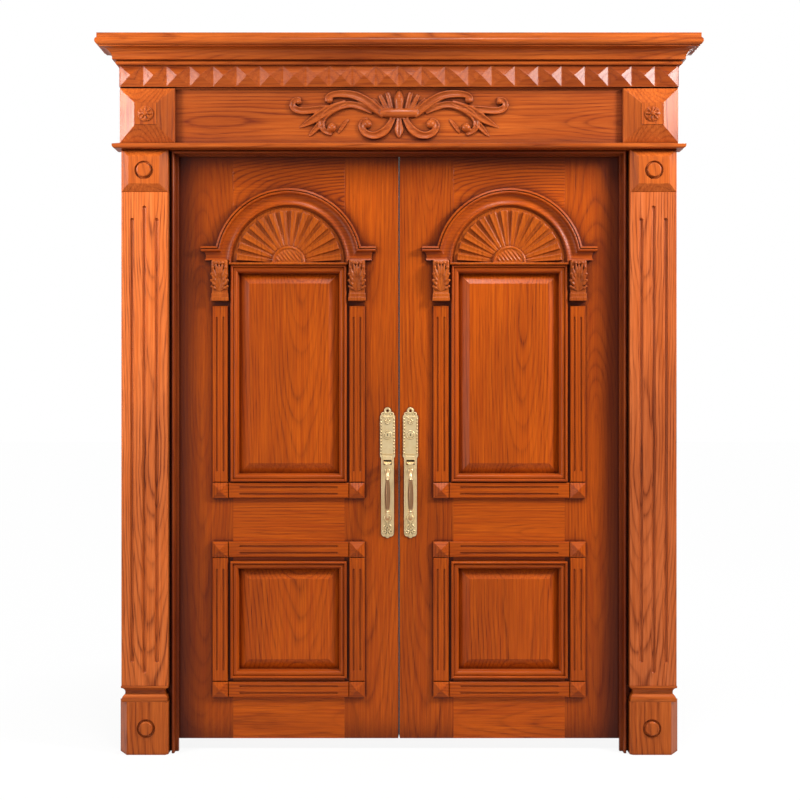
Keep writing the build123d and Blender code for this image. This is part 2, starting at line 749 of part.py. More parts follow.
def arch_moulding():
    """Round moulding over the sunburst, mitred into level ears on both sides."""
    turned = [
        (0, 0), (0, 24), (7, 26), (7, 19), (9, 19), ((13, 25), (17, 18)), (19, 13),
        ((34, 9), (arch_turned_width, 12)),
    ]
    shoulder = arch_width - 5
    ring_steps = turned + [((shoulder - 5, 16), (shoulder, 12)), (shoulder, 4), (arch_width, 4), (arch_width, 0)]
    origin = (ornament_centre, leaf_front_y, arch_centre_z)
    section = Plane(origin=origin) * closed_profile(ring_steps, lambda p: (arch_outer_radius - p[0], -p[1]))
    ring = revolve(section, Axis(origin, (0, -1, 0)), 180)

    ear_bottom = ear_top_z - arch_turned_width
    end_x = ear_half_span - turned[2][1]
    top_x = math.sqrt(arch_outer_radius ** 2 - (ear_top_z - arch_centre_z) ** 2)
    foot_x = arch_outer_radius - arch_turned_width
    corbel_x = surround_half_width - (surround_strip + corbel_width) / 2
    level = closed_profile(
        turned + [(arch_turned_width, 0)], lambda p: (leaf_front_y - p[1], ear_top_z - p[0]))
    span = 2 * ear_half_span
    ears = extrude(section_plane(ornament_centre - ear_half_span) * level, span)
    plane = front_plane(leaf_front_y)
    for side in (-1, 1):
        end = closed_profile(
            turned + [(arch_turned_width, -end_x), (0, -end_x)],
            lambda p: (ornament_centre + side * (end_x + p[1]), ear_top_z - p[0]))
        mitre = closed_profile(
            [(top_x, ear_top_z), (span, ear_top_z), (span, ear_bottom), (foot_x, ear_bottom)],
            lambda p: (ornament_centre + side * p[0], p[1]))
        under = closed_profile(
            [(corbel_x, ear_bottom), (span, ear_bottom), (span, 0), (corbel_x, 0)],
            lambda p: (ornament_centre + side * p[0], p[1]))
        ring -= extrude(plane * mitre, 50, both=True)
        ring -= extrude(plane * under, 50, both=True)
        ear = ears & extrude(plane * mitre, 50, both=True) & extrude(plane * end, 50, both=True)
        ring += ear
    return ring


def sunburst():
    """Half-round carved board: rays about a hatched hub, on a sill."""
    centre = (ornament_centre, arch_centre_z)
    radius = arch_outer_radius - arch_width - sunburst_play
    upper_half = Pos(centre[0], centre[1] + radius) * Rectangle(4 * radius, 2 * radius)
    disc = (Pos(*centre) * Circle(radius)) & upper_half
    board = extrude(front_plane(leaf_front_y) * disc, sunburst_base)
    field_y = leaf_front_y - sunburst_base
    hub_face = (Pos(*centre) * Circle(hub_radius)) & upper_half
    hub = extrude(front_plane(field_y) * hub_face, hub_rise)
    pitch = 2 * hub_radius / (hub_groove_count + 1)
    inner = (Pos(*centre) * Circle(hub_radius - 6)) & upper_half
    hatch_y = field_y - hub_rise + 3
    inner_prism = extrude(front_plane(hatch_y) * inner, 4)
    for i in range(hub_groove_count):
        x = centre[0] - hub_radius + (i + 0.5) * pitch
        line = Pos(x, centre[1] + hub_radius / 2) * Rot(0, 0, -30) * Rectangle(4, 4 * hub_radius)
        hub -= extrude(front_plane(hatch_y) * line, 4) & inner_prism
    rays = []
    sector = math.pi / ray_count
    rounding = (1.15, 1.08, 1, 1, 1, 0.85)
    rises = [ray_rise * share for share in (0.75, 0.85, 0.95, 1, 1, 0.65)]
    for i in range(ray_count):
        angle = (i + 0.5) * sector
        ends = [(centre[0] + r * math.cos(angle), centre[1] + r * math.sin(angle)) for r in (ray_start, ray_end)]
        lengths = [ray_start + (ray_end - ray_start) * k / 5 for k in range(6)]
        widths = [2 * r * math.tan(sector / 2) * ray_fill * share for r, share in zip(lengths, rounding)]
        rays.append(stroke(ends, widths, rises, field_y, steps=5))
    sill_half = surround_half_width - (surround_strip + corbel_width) / 2
    sill = block((centre[0] - sill_half, centre[0] + sill_half), (leaf_front_y - sill_reach, leaf_front_y),
                 (arch_centre_z - sill_height, arch_centre_z))
    return board.fuse(sill, hub, *rays)


def corbel():
    """Scrolled bracket with a ribbed leaf above a plain foot."""
    y = leaf_front_y
    top_z = ear_top_z - arch_turned_width
    neck_z = corbel_foot_z + corbel_foot_height
    neck_reach = corbel_foot_reach - 6
    profile = closed_profile([
        (y, corbel_foot_z), (y - corbel_foot_reach, corbel_foot_z), (y - corbel_foot_reach, neck_z),
        (y - neck_reach, neck_z),
        ((y - neck_reach - 4, neck_z + 36), (y - corbel_top_reach + 4, top_z - 38)),
        ((y - corbel_top_reach - 2, top_z - 18), (y - corbel_top_reach + 10, top_z)), (y, top_z),
    ])
    x = ornament_centre + surround_half_width - surround_strip / 2
    body = extrude(section_plane(x - corbel_width / 2) * profile, corbel_width)
    skin = body - Pos(0, 5, 0) * body
    spacing = (top_z - neck_z) / (corbel_rib_count + 3)
    for i in range(corbel_rib_count):
        z = neck_z + (i + 1.2) * spacing
        for side in (-1, 1):
            line = Pos(x + side * corbel_width / 3.4, z) * Rot(0, 0, side * 38) * Rectangle(30, 5)
            body -= extrude(front_plane(y) * line, 80) & skin
    boss_z = neck_z + (corbel_rib_count + 1.0) * spacing
    body += dome(x, boss_z, 13, 8, y - corbel_top_reach + 4)
    for side in (-1, 1):
        body += Pos(x + side * (corbel_width / 2 - 11), y - corbel_top_reach + 8, top_z - 13) * Rot(
            90, 0, 0) * Cylinder(11, 14)
    return body


def corbels():
    shift = 2 * surround_half_width - surround_strip
    outer = corbel()
    return [outer, Pos(-shift, 0, 0) * outer]


# Locks

def lock_blocks():
    """Outer shapes of the lock case and of its faceplate."""
    middle_z = (latch_z + cylinder_z) / 2
    case = block((faceplate_x, case_depth), (lock_y - case_thickness / 2, lock_y + case_thickness / 2),
                 (middle_z - case_height / 2, middle_z + case_height / 2))
    half = faceplate_height / 2
    plate = block((faceplate_x, faceplate_x + faceplate_thickness),
                  (lock_y - faceplate_width / 2, lock_y + faceplate_width / 2), (middle_z - half, middle_z + half))
    return case, plate


def bolt(z, size, play=0.0):
    """Square bolt behind the faceplate, or with play the way that it slides in."""
    length, thickness, height = size
    return block((faceplate_x - play, faceplate_x + length + play),
                 (lock_y - thickness / 2 - play, lock_y + thickness / 2 + play),
                 (z - height / 2 - play, z + height / 2 + play))


def lock_case():
    case, plate = lock_blocks()
    return case + plate - bolt(latch_z, latch_size, bolt_play) - bolt(cylinder_z, dead_bolt_size, bolt_play)


def latch_bolt():
    """Latch with its sloping nose."""
    body = bolt(latch_z, latch_size)
    nose = body.faces().sort_by(Axis.X)[0].edges().sort_by(Axis.Y)[-1]
    return chamfer(nose, latch_size[1] * 0.6)


# Handles

def thumb_pocket():
    """Pocket in the stile behind the slot of the thumb piece."""
    half = thumb_width / 2 + thumb_slot_play + ear_plate_thickness
    height = thumb_slot_height / 2 + 3
    return block((handle_x - half, handle_x + half), (leaf_front_y, leaf_front_y + pocket_depth),
                 (thumb_z - height, thumb_z + height))


def handle_plate():
    """Long plate with a wider head, a ring finial, a leafy drop and the ears of the thumb piece."""
    foot_height = plate_step - plate_bottom
    head_height = plate_top - plate_step
    outline = Pos(handle_x, plate_bottom + foot_height / 2) * RectangleRounded(plate_width, foot_height, 4)
    outline += Pos(handle_x, plate_step + head_height / 2 - 4) * RectangleRounded(
        plate_head_width, head_height + 8, 6)
    finial_z = plate_top + finial_radius + 1
    outline += Pos(handle_x, finial_z) * Circle(finial_radius)
    outline += Pos(handle_x, plate_top + 1) * Rectangle(finial_radius, 10)
    outline += Pos(handle_x, plate_bottom - 5) * Circle(drop_radius)
    for side in (-1, 1):
        outline += Pos(handle_x + side * plate_width / 4, plate_bottom + 2) * Circle(plate_width / 4 - 1)
    outline -= Pos(handle_x, finial_z) * Circle(finial_hole)
    plate = extrude(front_plane(leaf_front_y) * outline, plate_thickness)
    for z_range, width in (((plate_bottom + 6, plate_step - 2), plate_width),
                           ((plate_step + 2, plate_top - 4), plate_head_width)):
        size = (width - 2 * plate_border, z_range[1] - z_range[0])
        plate += frustum((handle_x, sum(z_range) / 2), size, (2, 2), plate_front_y, plate_field)
    slot_half = thumb_width / 2 + thumb_slot_play
    plate -= block((handle_x - slot_half, handle_x + slot_half),
                   (leaf_front_y - 10, leaf_front_y),
                   (thumb_z - thumb_slot_height / 2, thumb_z + thumb_slot_height / 2))
    plate += dome(handle_x, cylinder_z, cylinder_radius, cylinder_reach, plate_front_y - plate_field)
    keyhole = Pos(handle_x, cylinder_z) * SlotOverall(keyhole_height, keyhole_width, rotation=90)
    plate -= extrude(front_plane(plate_front_y) * keyhole, 20)
    for side in (-1, 1):
        ear_x = handle_x + side * slot_half
        plate += block((ear_x, ear_x + side * ear_plate_thickness),
                       (leaf_front_y, thumb_axis_y + thumb_pin + 3), (thumb_z - 6, thumb_z + 6))
    pin_length = 2 * (slot_half + ear_plate_thickness)
    return plate + Pos(handle_x, thumb_axis_y, thumb_z) * Rot(0, 90, 0) * Cylinder(thumb_pin, pin_length)


def thumb_piece():
    """Curved thumb piece on its pivot, with the tail that lifts the latch."""
    half = thumb_thickness / 2
    tip_y = plate_front_y - plate_field - thumb_reach
    bend_y = plate_front_y - plate_field - thumb_reach * 0.4
    side = closed_profile([
        (thumb_axis_y + thumb_tail, thumb_z + half), (bend_y, thumb_z + half),
        ((bend_y - 10, thumb_z + half - 1.5), (tip_y, thumb_z + half - thumb_droop)),
        (tip_y, thumb_z - thumb_droop),
        ((bend_y - 9, thumb_z - half - 1.5), (bend_y, thumb_z - half)),
        (thumb_axis_y + thumb_tail, thumb_z - half),
    ])
    tongue = extrude(section_plane(handle_x - thumb_width / 2) * side, thumb_width)
    plan = Pos(handle_x, (tip_y + thumb_width / 2 + leaf_front_y + 20) / 2) * Rectangle(
        thumb_width, leaf_front_y + 20 - tip_y - thumb_width / 2)
    plan += Pos(handle_x, tip_y + thumb_width / 2) * Circle(thumb_width / 2)
    tongue = tongue & extrude(Plane.XY.offset(thumb_z - 20) * plan, 40)
    barrel = Pos(handle_x, thumb_axis_y, thumb_z) * Rot(0, 90, 0) * Cylinder(thumb_barrel, thumb_width)
    bore = Pos(handle_x, thumb_axis_y, thumb_z) * Rot(0, 90, 0) * Cylinder(
        thumb_pin + thumb_pin_clearance, 2 * thumb_width)
    return tongue + barrel - bore


def grip():
    """Pull bar that leaves the plate, turns down and swells in the middle."""
    face_y = plate_front_y - plate_field
    bar_y = face_y - grip_reach
    path = FilletPolyline(
        (handle_x, face_y, grip_top), (handle_x, bar_y, grip_top),
        (handle_x, bar_y, grip_bottom), (handle_x, face_y, grip_bottom), radius=grip_bend)
    section = Plane(origin=(handle_x, face_y, grip_top), z_dir=(0, -1, 0)) * Circle(grip_radius)
    bar = sweep(section, path)
    low = grip_bottom + grip_bend
    high = grip_top - grip_bend
    middle = (low + high) / 2
    swell = Plane(origin=(handle_x, bar_y, 0), x_dir=(1, 0, 0), z_dir=(0, -1, 0)) * closed_profile([
        (0, low), (grip_radius, low), (grip_radius + 2.5, low + 4), (grip_radius, low + 8),
        ((grip_swell, middle), (grip_radius, high - 8)), (grip_radius + 2.5, high - 4),
        (grip_radius, high), (0, high),
    ])
    bar += revolve(swell, Axis((handle_x, bar_y, 0), (0, 0, 1)), 360)
    bar += dome(handle_x, grip_top, grip_foot_radius - 3, 5, face_y)
    return bar + dome(handle_x, grip_bottom, grip_foot_radius, 6, face_y)


def inner_plate():
    face = Pos(handle_x, lever_z) * RectangleRounded(inner_plate_width, inner_plate_height, 6)
    face -= Pos(handle_x, lever_z) * Circle(lever_neck_radius + lever_clearance)
    return extrude(front_plane(leaf_rear_y + inner_plate_thickness) * face, inner_plate_thickness)


def lever():
    """Lever on a round hub that reaches towards the hinge side."""
    start_y = leaf_rear_y + inner_plate_thickness + lever_play
    end_y = leaf_rear_y + inner_plate_thickness + lever_reach
    hub = Plane(origin=(handle_x, start_y, lever_z), z_dir=(0, 1, 0)) * Cylinder(
        lever_hub_radius, end_y - start_y - 2, align=(Align.CENTER, Align.CENTER, Align.MIN))
    width = 2 * lever_hub_radius - 2
    arm = Pos(handle_x + lever_length / 2 - width / 2, lever_z) * SlotOverall(lever_length, width)
    neck_y = leaf_rear_y + lever_play
    neck = Plane(origin=(handle_x, neck_y, lever_z), z_dir=(0, 1, 0)) * Cylinder(
        lever_neck_radius, start_y + 1 - neck_y, align=(Align.CENTER, Align.CENTER, Align.MIN))
    return hub + neck + extrude(front_plane(end_y) * arm, lever_thickness)


# Nodes

right_jamb = jamb()
left_jamb = mirror(right_jamb, Plane.YZ)
crown_core, crown_lengths, crown_board = crown()
frame_hinges, leaf_hinges = hinge_halves()
boss = frieze_boss()

shared = {
    "head_jamb": [head_jamb([right_jamb, left_jamb])],
    "necking_moulding": [necking()],
    "frieze_board": [frieze_board()],
    "frieze_bosses": [boss] + mirrored([boss]),
    "frieze_carving": [frieze_carving()],
    "pyramid_band": [pyramid_band()],
    "crown_core": [crown_core],
    "crown_moulding": crown_lengths,
    "crown_top_board": [crown_board],
    "hinge_frame_halves": frame_hinges + mirrored(frame_hinges),
    "right_latch_bolt": [latch_bolt()],
    "right_dead_bolt": [bolt(cylinder_z, dead_bolt_size)],
}

sided = {
    "jamb": [right_jamb],
    "plinth": [plinth()],
    "plinth_cap": [plinth_cap()],
    "pilaster": [pilaster()],
    "capital": [capital()],
    "frieze_block": [frieze_block()],
    "hinge_stile": [hinge_stile()],
    "meeting_stile": [meeting_stile()],
    "top_rail": [rail((upper_opening[1], leaf_top_z))],
    "lock_rail": [rail((lower_opening[1], upper_opening[0]))],
    "bottom_rail": [rail((leaf_floor_gap, lower_opening[0]))],
    "panels": [raised_panel(lower_opening), raised_panel(upper_opening)],
    "panel_mouldings": panel_moulding(lower_opening) + panel_moulding(upper_opening),
    "surrounds": surround(lower_surround, True) + surround(upper_surround, False),
    "arch_moulding": [arch_moulding()],
    "sunburst": [sunburst()],
    "corbels": corbels(),
    "hinge_leaf_halves": leaf_hinges,
    "lock_case": [lock_case()],
    "handle_plate": [handle_plate()],
    "grip": [grip()],
    "thumb_piece": [thumb_piece()],
    "inner_plate": [inner_plate()],
    "inner_lever": [lever()],
}


def save(name, pieces):
    solids = [solid for piece in pieces for solid in piece.solids()]
    export_step(solids[0] if len(solids) == 1 else Compound(solids), f"parts/{name}.step")


os.makedirs("parts", exist_ok=True)
for name, pieces in shared.items():
    save(name, pieces)
for name, pieces in sided.items():
    save("right_" + name, pieces)
    save("left_" + name, mirrored(pieces))
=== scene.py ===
"""Looks of a carved wooden entrance door with two leaves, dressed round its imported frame.

The row frame: X to the right, Y from the street inwards, Z up. Blender works in metres. What is
carved or cast is drawn in millimetres on the door's face, and its depths are in metres.
"""

import logging
import math
from dataclasses import dataclass, field
from enum import Enum

import bpy
from bpy.types import Material, Node, NodeSocket, Object
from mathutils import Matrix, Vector

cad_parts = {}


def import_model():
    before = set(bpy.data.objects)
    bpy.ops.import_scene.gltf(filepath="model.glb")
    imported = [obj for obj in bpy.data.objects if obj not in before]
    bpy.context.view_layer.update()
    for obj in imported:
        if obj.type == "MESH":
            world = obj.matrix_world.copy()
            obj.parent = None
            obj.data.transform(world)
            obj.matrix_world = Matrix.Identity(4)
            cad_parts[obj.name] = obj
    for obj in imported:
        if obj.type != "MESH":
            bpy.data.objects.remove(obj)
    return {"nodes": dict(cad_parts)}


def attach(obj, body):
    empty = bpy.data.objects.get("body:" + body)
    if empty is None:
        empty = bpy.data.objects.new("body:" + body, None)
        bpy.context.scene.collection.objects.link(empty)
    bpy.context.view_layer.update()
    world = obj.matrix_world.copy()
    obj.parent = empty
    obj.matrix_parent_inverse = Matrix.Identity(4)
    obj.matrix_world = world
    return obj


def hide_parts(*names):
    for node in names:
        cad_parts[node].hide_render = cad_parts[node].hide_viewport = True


log = logging.getLogger("entrance_door")

Pair = tuple[float, float]
Triple = tuple[float, float, float]
Colour = tuple[float, float, float, float]
Stops = tuple[Pair, ...]  # position on a ramp and grey level
Streaks = tuple[float, float, float, float]  # stretch, scale, detail and roughness of a noise

MM_PER_M = 1000.0
KNOB_SINK = 0.002  # how deep the cut back of a knob lies in the board


class GrainRun(Enum):
    """Way the grain runs: the letters are the axes across the board, into it and along it."""

    UPRIGHT = "XYZ"
    LEVEL = "ZYX"


class Side(Enum):
    """Side of the door seen from the street; the value is the sign of X."""

    LEFT = -1
    RIGHT = 1

    @property
    def word(self) -> str:
        """Word that starts the names of this side's nodes."""
        return self.name.lower()


class Graph:
    """Small helper that builds the node tree of one material."""

    def __init__(self, name: str) -> None:
        """Starts an empty material.

        Args:
            name: name of the material.
        """
        self.material = bpy.data.materials.new(name)
        self.material.use_nodes = True
        self.tree = self.material.node_tree
        self.tree.nodes.clear()

    def node(self, kind: str, **values: object) -> Node:
        """Adds a node.

        Args:
            kind: Blender's type name of the node.
            values: properties of the node to set.

        Returns:
            The new node.
        """
        made = self.tree.nodes.new(kind)
        for key, value in values.items():
            setattr(made, key, value)
        return made

    def feed(self, socket: NodeSocket, value: object) -> None:
        """Links a socket to another one, or sets its value.

        Args:
            socket: input to fill.
            value: output socket, number or tuple.
        """
        if isinstance(value, NodeSocket):
            self.tree.links.new(value, socket)
        else:
            socket.default_value = value

    def math(self, operation: str, a: object, b: object = 0.0, c: object = 0.0) -> NodeSocket:
        """Adds a Math node.

        Args:
            operation: name of the operation.
            a: first input.
            b: second input.
            c: third input.

        Returns:
            The result's socket.
        """
        made = self.node("ShaderNodeMath", operation=operation)
        for socket, value in zip(made.inputs, (a, b, c)):
            self.feed(socket, value)
        return made.outputs[0]

    def noise(self, vector: object, scale: float, detail: float, rough: float) -> NodeSocket:
        """Adds a Noise node.

        Args:
            vector: coordinates.
            scale: how many blobs there are to a metre.
            detail: octaves.
            rough: strength of the finer octaves.

        Returns:
            The noise value, from 0 to 1.
        """
        made = self.node("ShaderNodeTexNoise")
        self.feed(made.inputs["Vector"], vector)
        made.inputs["Scale"].default_value = scale
        made.inputs["Detail"].default_value = detail
        made.inputs["Roughness"].default_value = rough
        return made.outputs["Fac"]

    def streaks(self, grain: object, kind: Streaks) -> NodeSocket:
        """Adds a noise that is drawn out along the grain.

        Args:
            grain: coordinates across the board, into it and along it.
            kind: share of the scale left along the grain, scale, octaves and strength of the finer ones.

        Returns:
            The noise value, from 0 to 1.
        """
        made = self.node("ShaderNodeVectorMath", operation="MULTIPLY")
        self.feed(made.inputs[0], grain)
        self.feed(made.inputs[1], (1.0, 1.0, kind[0]))
        return self.noise(made.outputs[0], *kind[1:])

    def axes(self, vector: object) -> tuple[NodeSocket, ...]:
        """Splits a vector into X, Y and Z.

        Args:
            vector: coordinates.

        Returns:
            The three sockets.
        """
        made = self.node("ShaderNodeSeparateXYZ")
        self.feed(made.inputs[0], vector)
        return tuple(made.outputs)

    def ramp(self, value: object, stops: Stops) -> NodeSocket:
        """Maps a value through grey stops.

        Args:
            value: input from 0 to 1.
            stops: position and grey level of each stop.

        Returns:
            The mapped value.
        """
        made = self.node("ShaderNodeValToRGB")
        elements = made.color_ramp.elements
        while len(elements) < len(stops):
            elements.new(0.5)
        for element, (place, grey) in zip(elements, stops):
            element.position = place
            element.color = (grey, grey, grey, 1.0)
        self.feed(made.inputs["Fac"], value)
        return made.outputs["Color"]

    def blend(self, share: object, a: object, b: object) -> NodeSocket:
        """Mixes two colours.

        Args:
            share: how much of the second colour shows.
            a: first colour.
            b: second colour.

        Returns:
            The mixed colour.
        """
        made = self.node("ShaderNodeMix", data_type="RGBA", clamp_factor=True)
        self.feed(made.inputs["Factor"], share)
        self.feed(made.inputs["A"], a)
        self.feed(made.inputs["B"], b)
        return made.outputs["Result"]

    def openness(self, reach: float) -> NodeSocket:
        """Tells hollows from open faces.

        Args:
            reach: how near another face has to be to count, in metres.

        Returns:
            One in the open, and less in a hollow.
        """
        made = self.node("ShaderNodeAmbientOcclusion", samples=6)
        made.inputs["Distance"].default_value = reach
        return made.outputs["AO"]

    def relief(self, height: object, strength: float, depth: float, rounding: float) -> NodeSocket:
        """Gives a surface fine relief and softened edges.

        Args:
            height: the relief, from 0 to 1.
            strength: how strongly it shows.
            depth: its depth, in metres.
            rounding: radius of the softened edges, in metres.

        Returns:
            The normal.
        """
        soft = self.node("ShaderNodeBevel", samples=4)
        soft.inputs["Radius"].default_value = rounding
        bump = self.node("ShaderNodeBump")
        bump.inputs["Strength"].default_value = strength
        bump.inputs["Distance"].default_value = depth
        self.feed(bump.inputs["Height"], height)
        self.feed(bump.inputs["Normal"], soft.outputs[0])
        return bump.outputs[0]

    def principled(self, **sockets: object) -> None:
        """Ends the tree with a Principled shader.

        Args:
            sockets: inputs by name, with an underscore for each space.
        """
        shader = self.node("ShaderNodeBsdfPrincipled")
        for key, value in sockets.items():
            self.feed(shader.inputs[key.replace("_", " ")], value)
        output = self.node("ShaderNodeOutputMaterial")
        self.tree.links.new(shader.outputs[0], output.inputs["Surface"])


@dataclass(frozen=True)
class StainedBoard:
    """Red-brown stained ash board under a satin lacquer.

    The growth rings are cylinders round a heart line that leans away from the board, so that they
    cut its face in pointed arches near the middle and in straight lines near the edges. The tone
    darkens the whole board and the figure its rings. Painted shade darkens its hollows towards the
    deep colour, and more painted shade darkens the parts that lie deep in the doorway, beside the
    jambs and under the head.
    """

    name: str
    run: GrainRun = GrainRun.UPRIGHT
    heart: Triple = (0.0, 0.05, 0.0)
    lean: float = 0.035
    ring: float = 0.0105
    tone: float = 0.0
    figure: float = 0.45
    # depth of the painted shade in the board's hollows
    recess: float = 0.85
    # depth of the painted shade on parts that lie deep in the doorway
    reveal: float = 0.0
    panel_x: float | None = None
    light: Colour = (0.640, 0.145, 0.020, 1.0)
    middle: Colour = (0.450, 0.080, 0.008, 1.0)
    dark: Colour = (0.135, 0.014, 0.001, 1.0)
    # colour of all painted shade on the board
    deep: Colour = (0.058, 0.005, 0.0006, 1.0)
    # reach and fade of the painted shade in hollows
    hollow_reach: float = 0.022
    hollow_end: float = 0.72
    hollow_fade: float = 0.57
    # painted shade in the corners of the doorway, and beside the jambs and under the head
    corner_reach: float = 0.16
    corner_fade: Pair = (0.60, 0.88)
    jamb_shade: Stops = ((0.655, 0.0), (0.735, 0.62))
    head_base: float = 1.5
    head_shade: Stops = ((0.50, 0.0), (0.545, 0.20))
    panel_half: float = 0.192
    panel_rows: tuple[Pair, Pair] = ((1.299, 0.365), (0.45025, 0.19325))
    sway: Streaks = (0.42, 3.1, 2.5, 0.5)
    sway_depth: float = 0.10
    wander: Streaks = (0.16, 17.0, 2.0, 0.55)
    wander_width: float = 0.014
    ring_profile: Stops = ((0.0, 0.95), (0.10, 0.55), (0.30, 0.10), (0.62, 0.0), (0.86, 0.22), (1.0, 0.95))
    patches: Streaks = (0.30, 9.0, 2.0, 0.5)
    pores: Streaks = (0.020, 520.0, 2.0, 0.6)
    pore_depth: Pair = (0.45, 0.22)
    fibres: Streaks = (0.022, 150.0, 3.0, 0.65)
    clouds: Streaks = (0.35, 4.5, 3.0, 0.55)
    cloud_depth: float = 1.1
    stain_depth: float = 0.22
    rough: float = 0.27
    rough_sway: float = 0.10
    rough_hollow: float = 0.35

    def material(self) -> Material:
        """Builds the material.

        Returns:
            The finished material.
        """
        g = Graph(self.name)
        place = g.node("ShaderNodeTexCoord").outputs["Object"]
        grain = self.grain_space(g, place)
        cloud = g.streaks(grain, self.clouds)
        ink = self.ink(g, grain)
        stained = g.blend(ink, self.ground(g, grain, cloud), self.dark)
        # painted shade: hollows darken towards the deep colour
        fade = ((self.hollow_end - self.hollow_fade, self.recess), (self.hollow_end, 0.0))
        hollow_shade_share = g.ramp(g.openness(self.hollow_reach), fade)
        stained = g.blend(hollow_shade_share, stained, self.deep)
        # painted shade deep in the doorway: in its corners, beside the jambs and under the head
        if self.reveal > 0.0:
            full, gone = self.corner_fade
            corner = g.ramp(g.openness(self.corner_reach), ((full, self.reveal), (gone, 0.0)))
            stained = g.blend(corner, stained, self.deep)
            stained = g.blend(self.edge_share(g, place), stained, self.deep)
        gloss = g.math("MULTIPLY_ADD", ink, self.rough_sway,
                       g.math("MULTIPLY_ADD", cloud, self.rough_sway, self.rough))
        gloss = g.math("MULTIPLY_ADD", hollow_shade_share, self.rough_hollow, gloss)
        normal = g.relief(g.math("SUBTRACT", 1.0, ink), strength=0.22, depth=0.0006, rounding=0.0016)
        g.principled(Base_Color=stained, Roughness=gloss, Normal=normal,
                     Coat_Weight=0.06, Coat_Roughness=0.20, Specular_IOR_Level=0.20)
        return g.material

    def grain_space(self, g: Graph, place: NodeSocket) -> NodeSocket:
        """Coordinates about the heart line: across the board, into it and along it.

        Args:
            g: the material's graph.
            place: object coordinates.

        Returns:
            The coordinates, turned in the level lengths round a panel.
        """
        shift = g.node("ShaderNodeVectorMath", operation="SUBTRACT")
        g.feed(shift.inputs[0], place)
        g.feed(shift.inputs[1], self.heart)
        numbers = g.axes(shift.outputs[0])
        across, into, along = (numbers["XYZ".index(letter)] for letter in self.run.value)
        if self.panel_x is not None:
            level = self.level_share(g, place)
            gap = g.math("SUBTRACT", along, across)
            across, along = (g.math("MULTIPLY_ADD", gap, level, across),
                             g.math("MULTIPLY_ADD", g.math("MULTIPLY", gap, -1.0), level, along))
        grain = g.node("ShaderNodeCombineXYZ")
        for socket, value in zip(grain.inputs, (across, into, along)):
            g.feed(socket, value)
        return grain.outputs[0]

    def ink(self, g: Graph, grain: NodeSocket) -> NodeSocket:
        """Darker stain that ring lines and open pores take up.

        Args:
            g: the material's graph.
            grain: coordinates of the grain.

        Returns:
            Its depth, from 0 to 1.
        """
        across, into, along = g.axes(grain)
        sway = g.math("SUBTRACT", g.streaks(grain, self.sway), 0.5)
        wander = g.math("SUBTRACT", g.streaks(grain, self.wander), 0.5)
        depth = g.math("MULTIPLY_ADD", sway, self.sway_depth, g.math("MULTIPLY_ADD", along, self.lean, into))
        width = g.math("MULTIPLY_ADD", wander, self.wander_width, across)
        radius = g.math("SQRT", g.math("ADD", g.math("MULTIPLY", width, width), g.math("MULTIPLY", depth, depth)))
        line = g.ramp(g.math("FRACT", g.math("DIVIDE", radius, self.ring)), self.ring_profile)
        line = g.math("MULTIPLY", line, g.ramp(g.streaks(grain, self.patches), ((0.34, 0.25), (0.62, 1.0))))
        pore = g.ramp(g.streaks(grain, self.pores), ((0.48, 0.0), (0.62, 1.0)))
        open_pore = g.math("MULTIPLY", pore, g.math("MULTIPLY_ADD", line, *self.pore_depth))
        return g.math("MULTIPLY_ADD", line, self.figure, open_pore)

    def ground(self, g: Graph, grain: NodeSocket, cloud: NodeSocket) -> NodeSocket:
        """Stained wood between the ring lines.

        Args:
            g: the material's graph.
            grain: coordinates of the grain.
            cloud: slow change of the stain over the board.

        Returns:
            The colour.
        """
        fibre = g.ramp(g.streaks(grain, self.fibres), ((0.32, 0.0), (0.70, 1.0)))
        warm = g.blend(fibre, self.light, self.middle)
        uneven = g.math("MULTIPLY", g.math("SUBTRACT", cloud, 0.5), self.cloud_depth)
        return g.blend(g.math("ADD", uneven, self.stain_depth + self.tone), warm, self.dark)

    def edge_share(self, g: Graph, place: NodeSocket) -> NodeSocket:
        """Share of the painted shade towards the jambs and the head.

        Args:
            g: the material's graph.
            place: object coordinates.

        Returns:
            Zero on the open leaf, and about two thirds beside the jambs.
        """
        across, _, up = g.axes(place)
        beside = g.ramp(g.math("ABSOLUTE", across), self.jamb_shade)
        above = g.ramp(g.math("SUBTRACT", up, self.head_base), self.head_shade)
        return g.math("MAXIMUM", beside, above)

    def level_share(self, g: Graph, place: NodeSocket) -> NodeSocket:
        """Tells the level lengths round a panel from the upright ones, with a mitre between them.

        Args:
            g: the material's graph.
            place: object coordinates.

        Returns:
            One on a level length, zero on an upright one.
        """
        across, _, up = g.axes(place)
        off = g.math("ABSOLUTE", g.math("SUBTRACT", across, self.panel_x))
        beside = g.math("SUBTRACT", off, self.panel_half)
        upper, lower = (g.math("SUBTRACT", g.math("ABSOLUTE", g.math("SUBTRACT", up, middle)), half)
                        for middle, half in self.panel_rows)
        return g.math("GREATER_THAN", g.math("MINIMUM", upper, lower), beside)


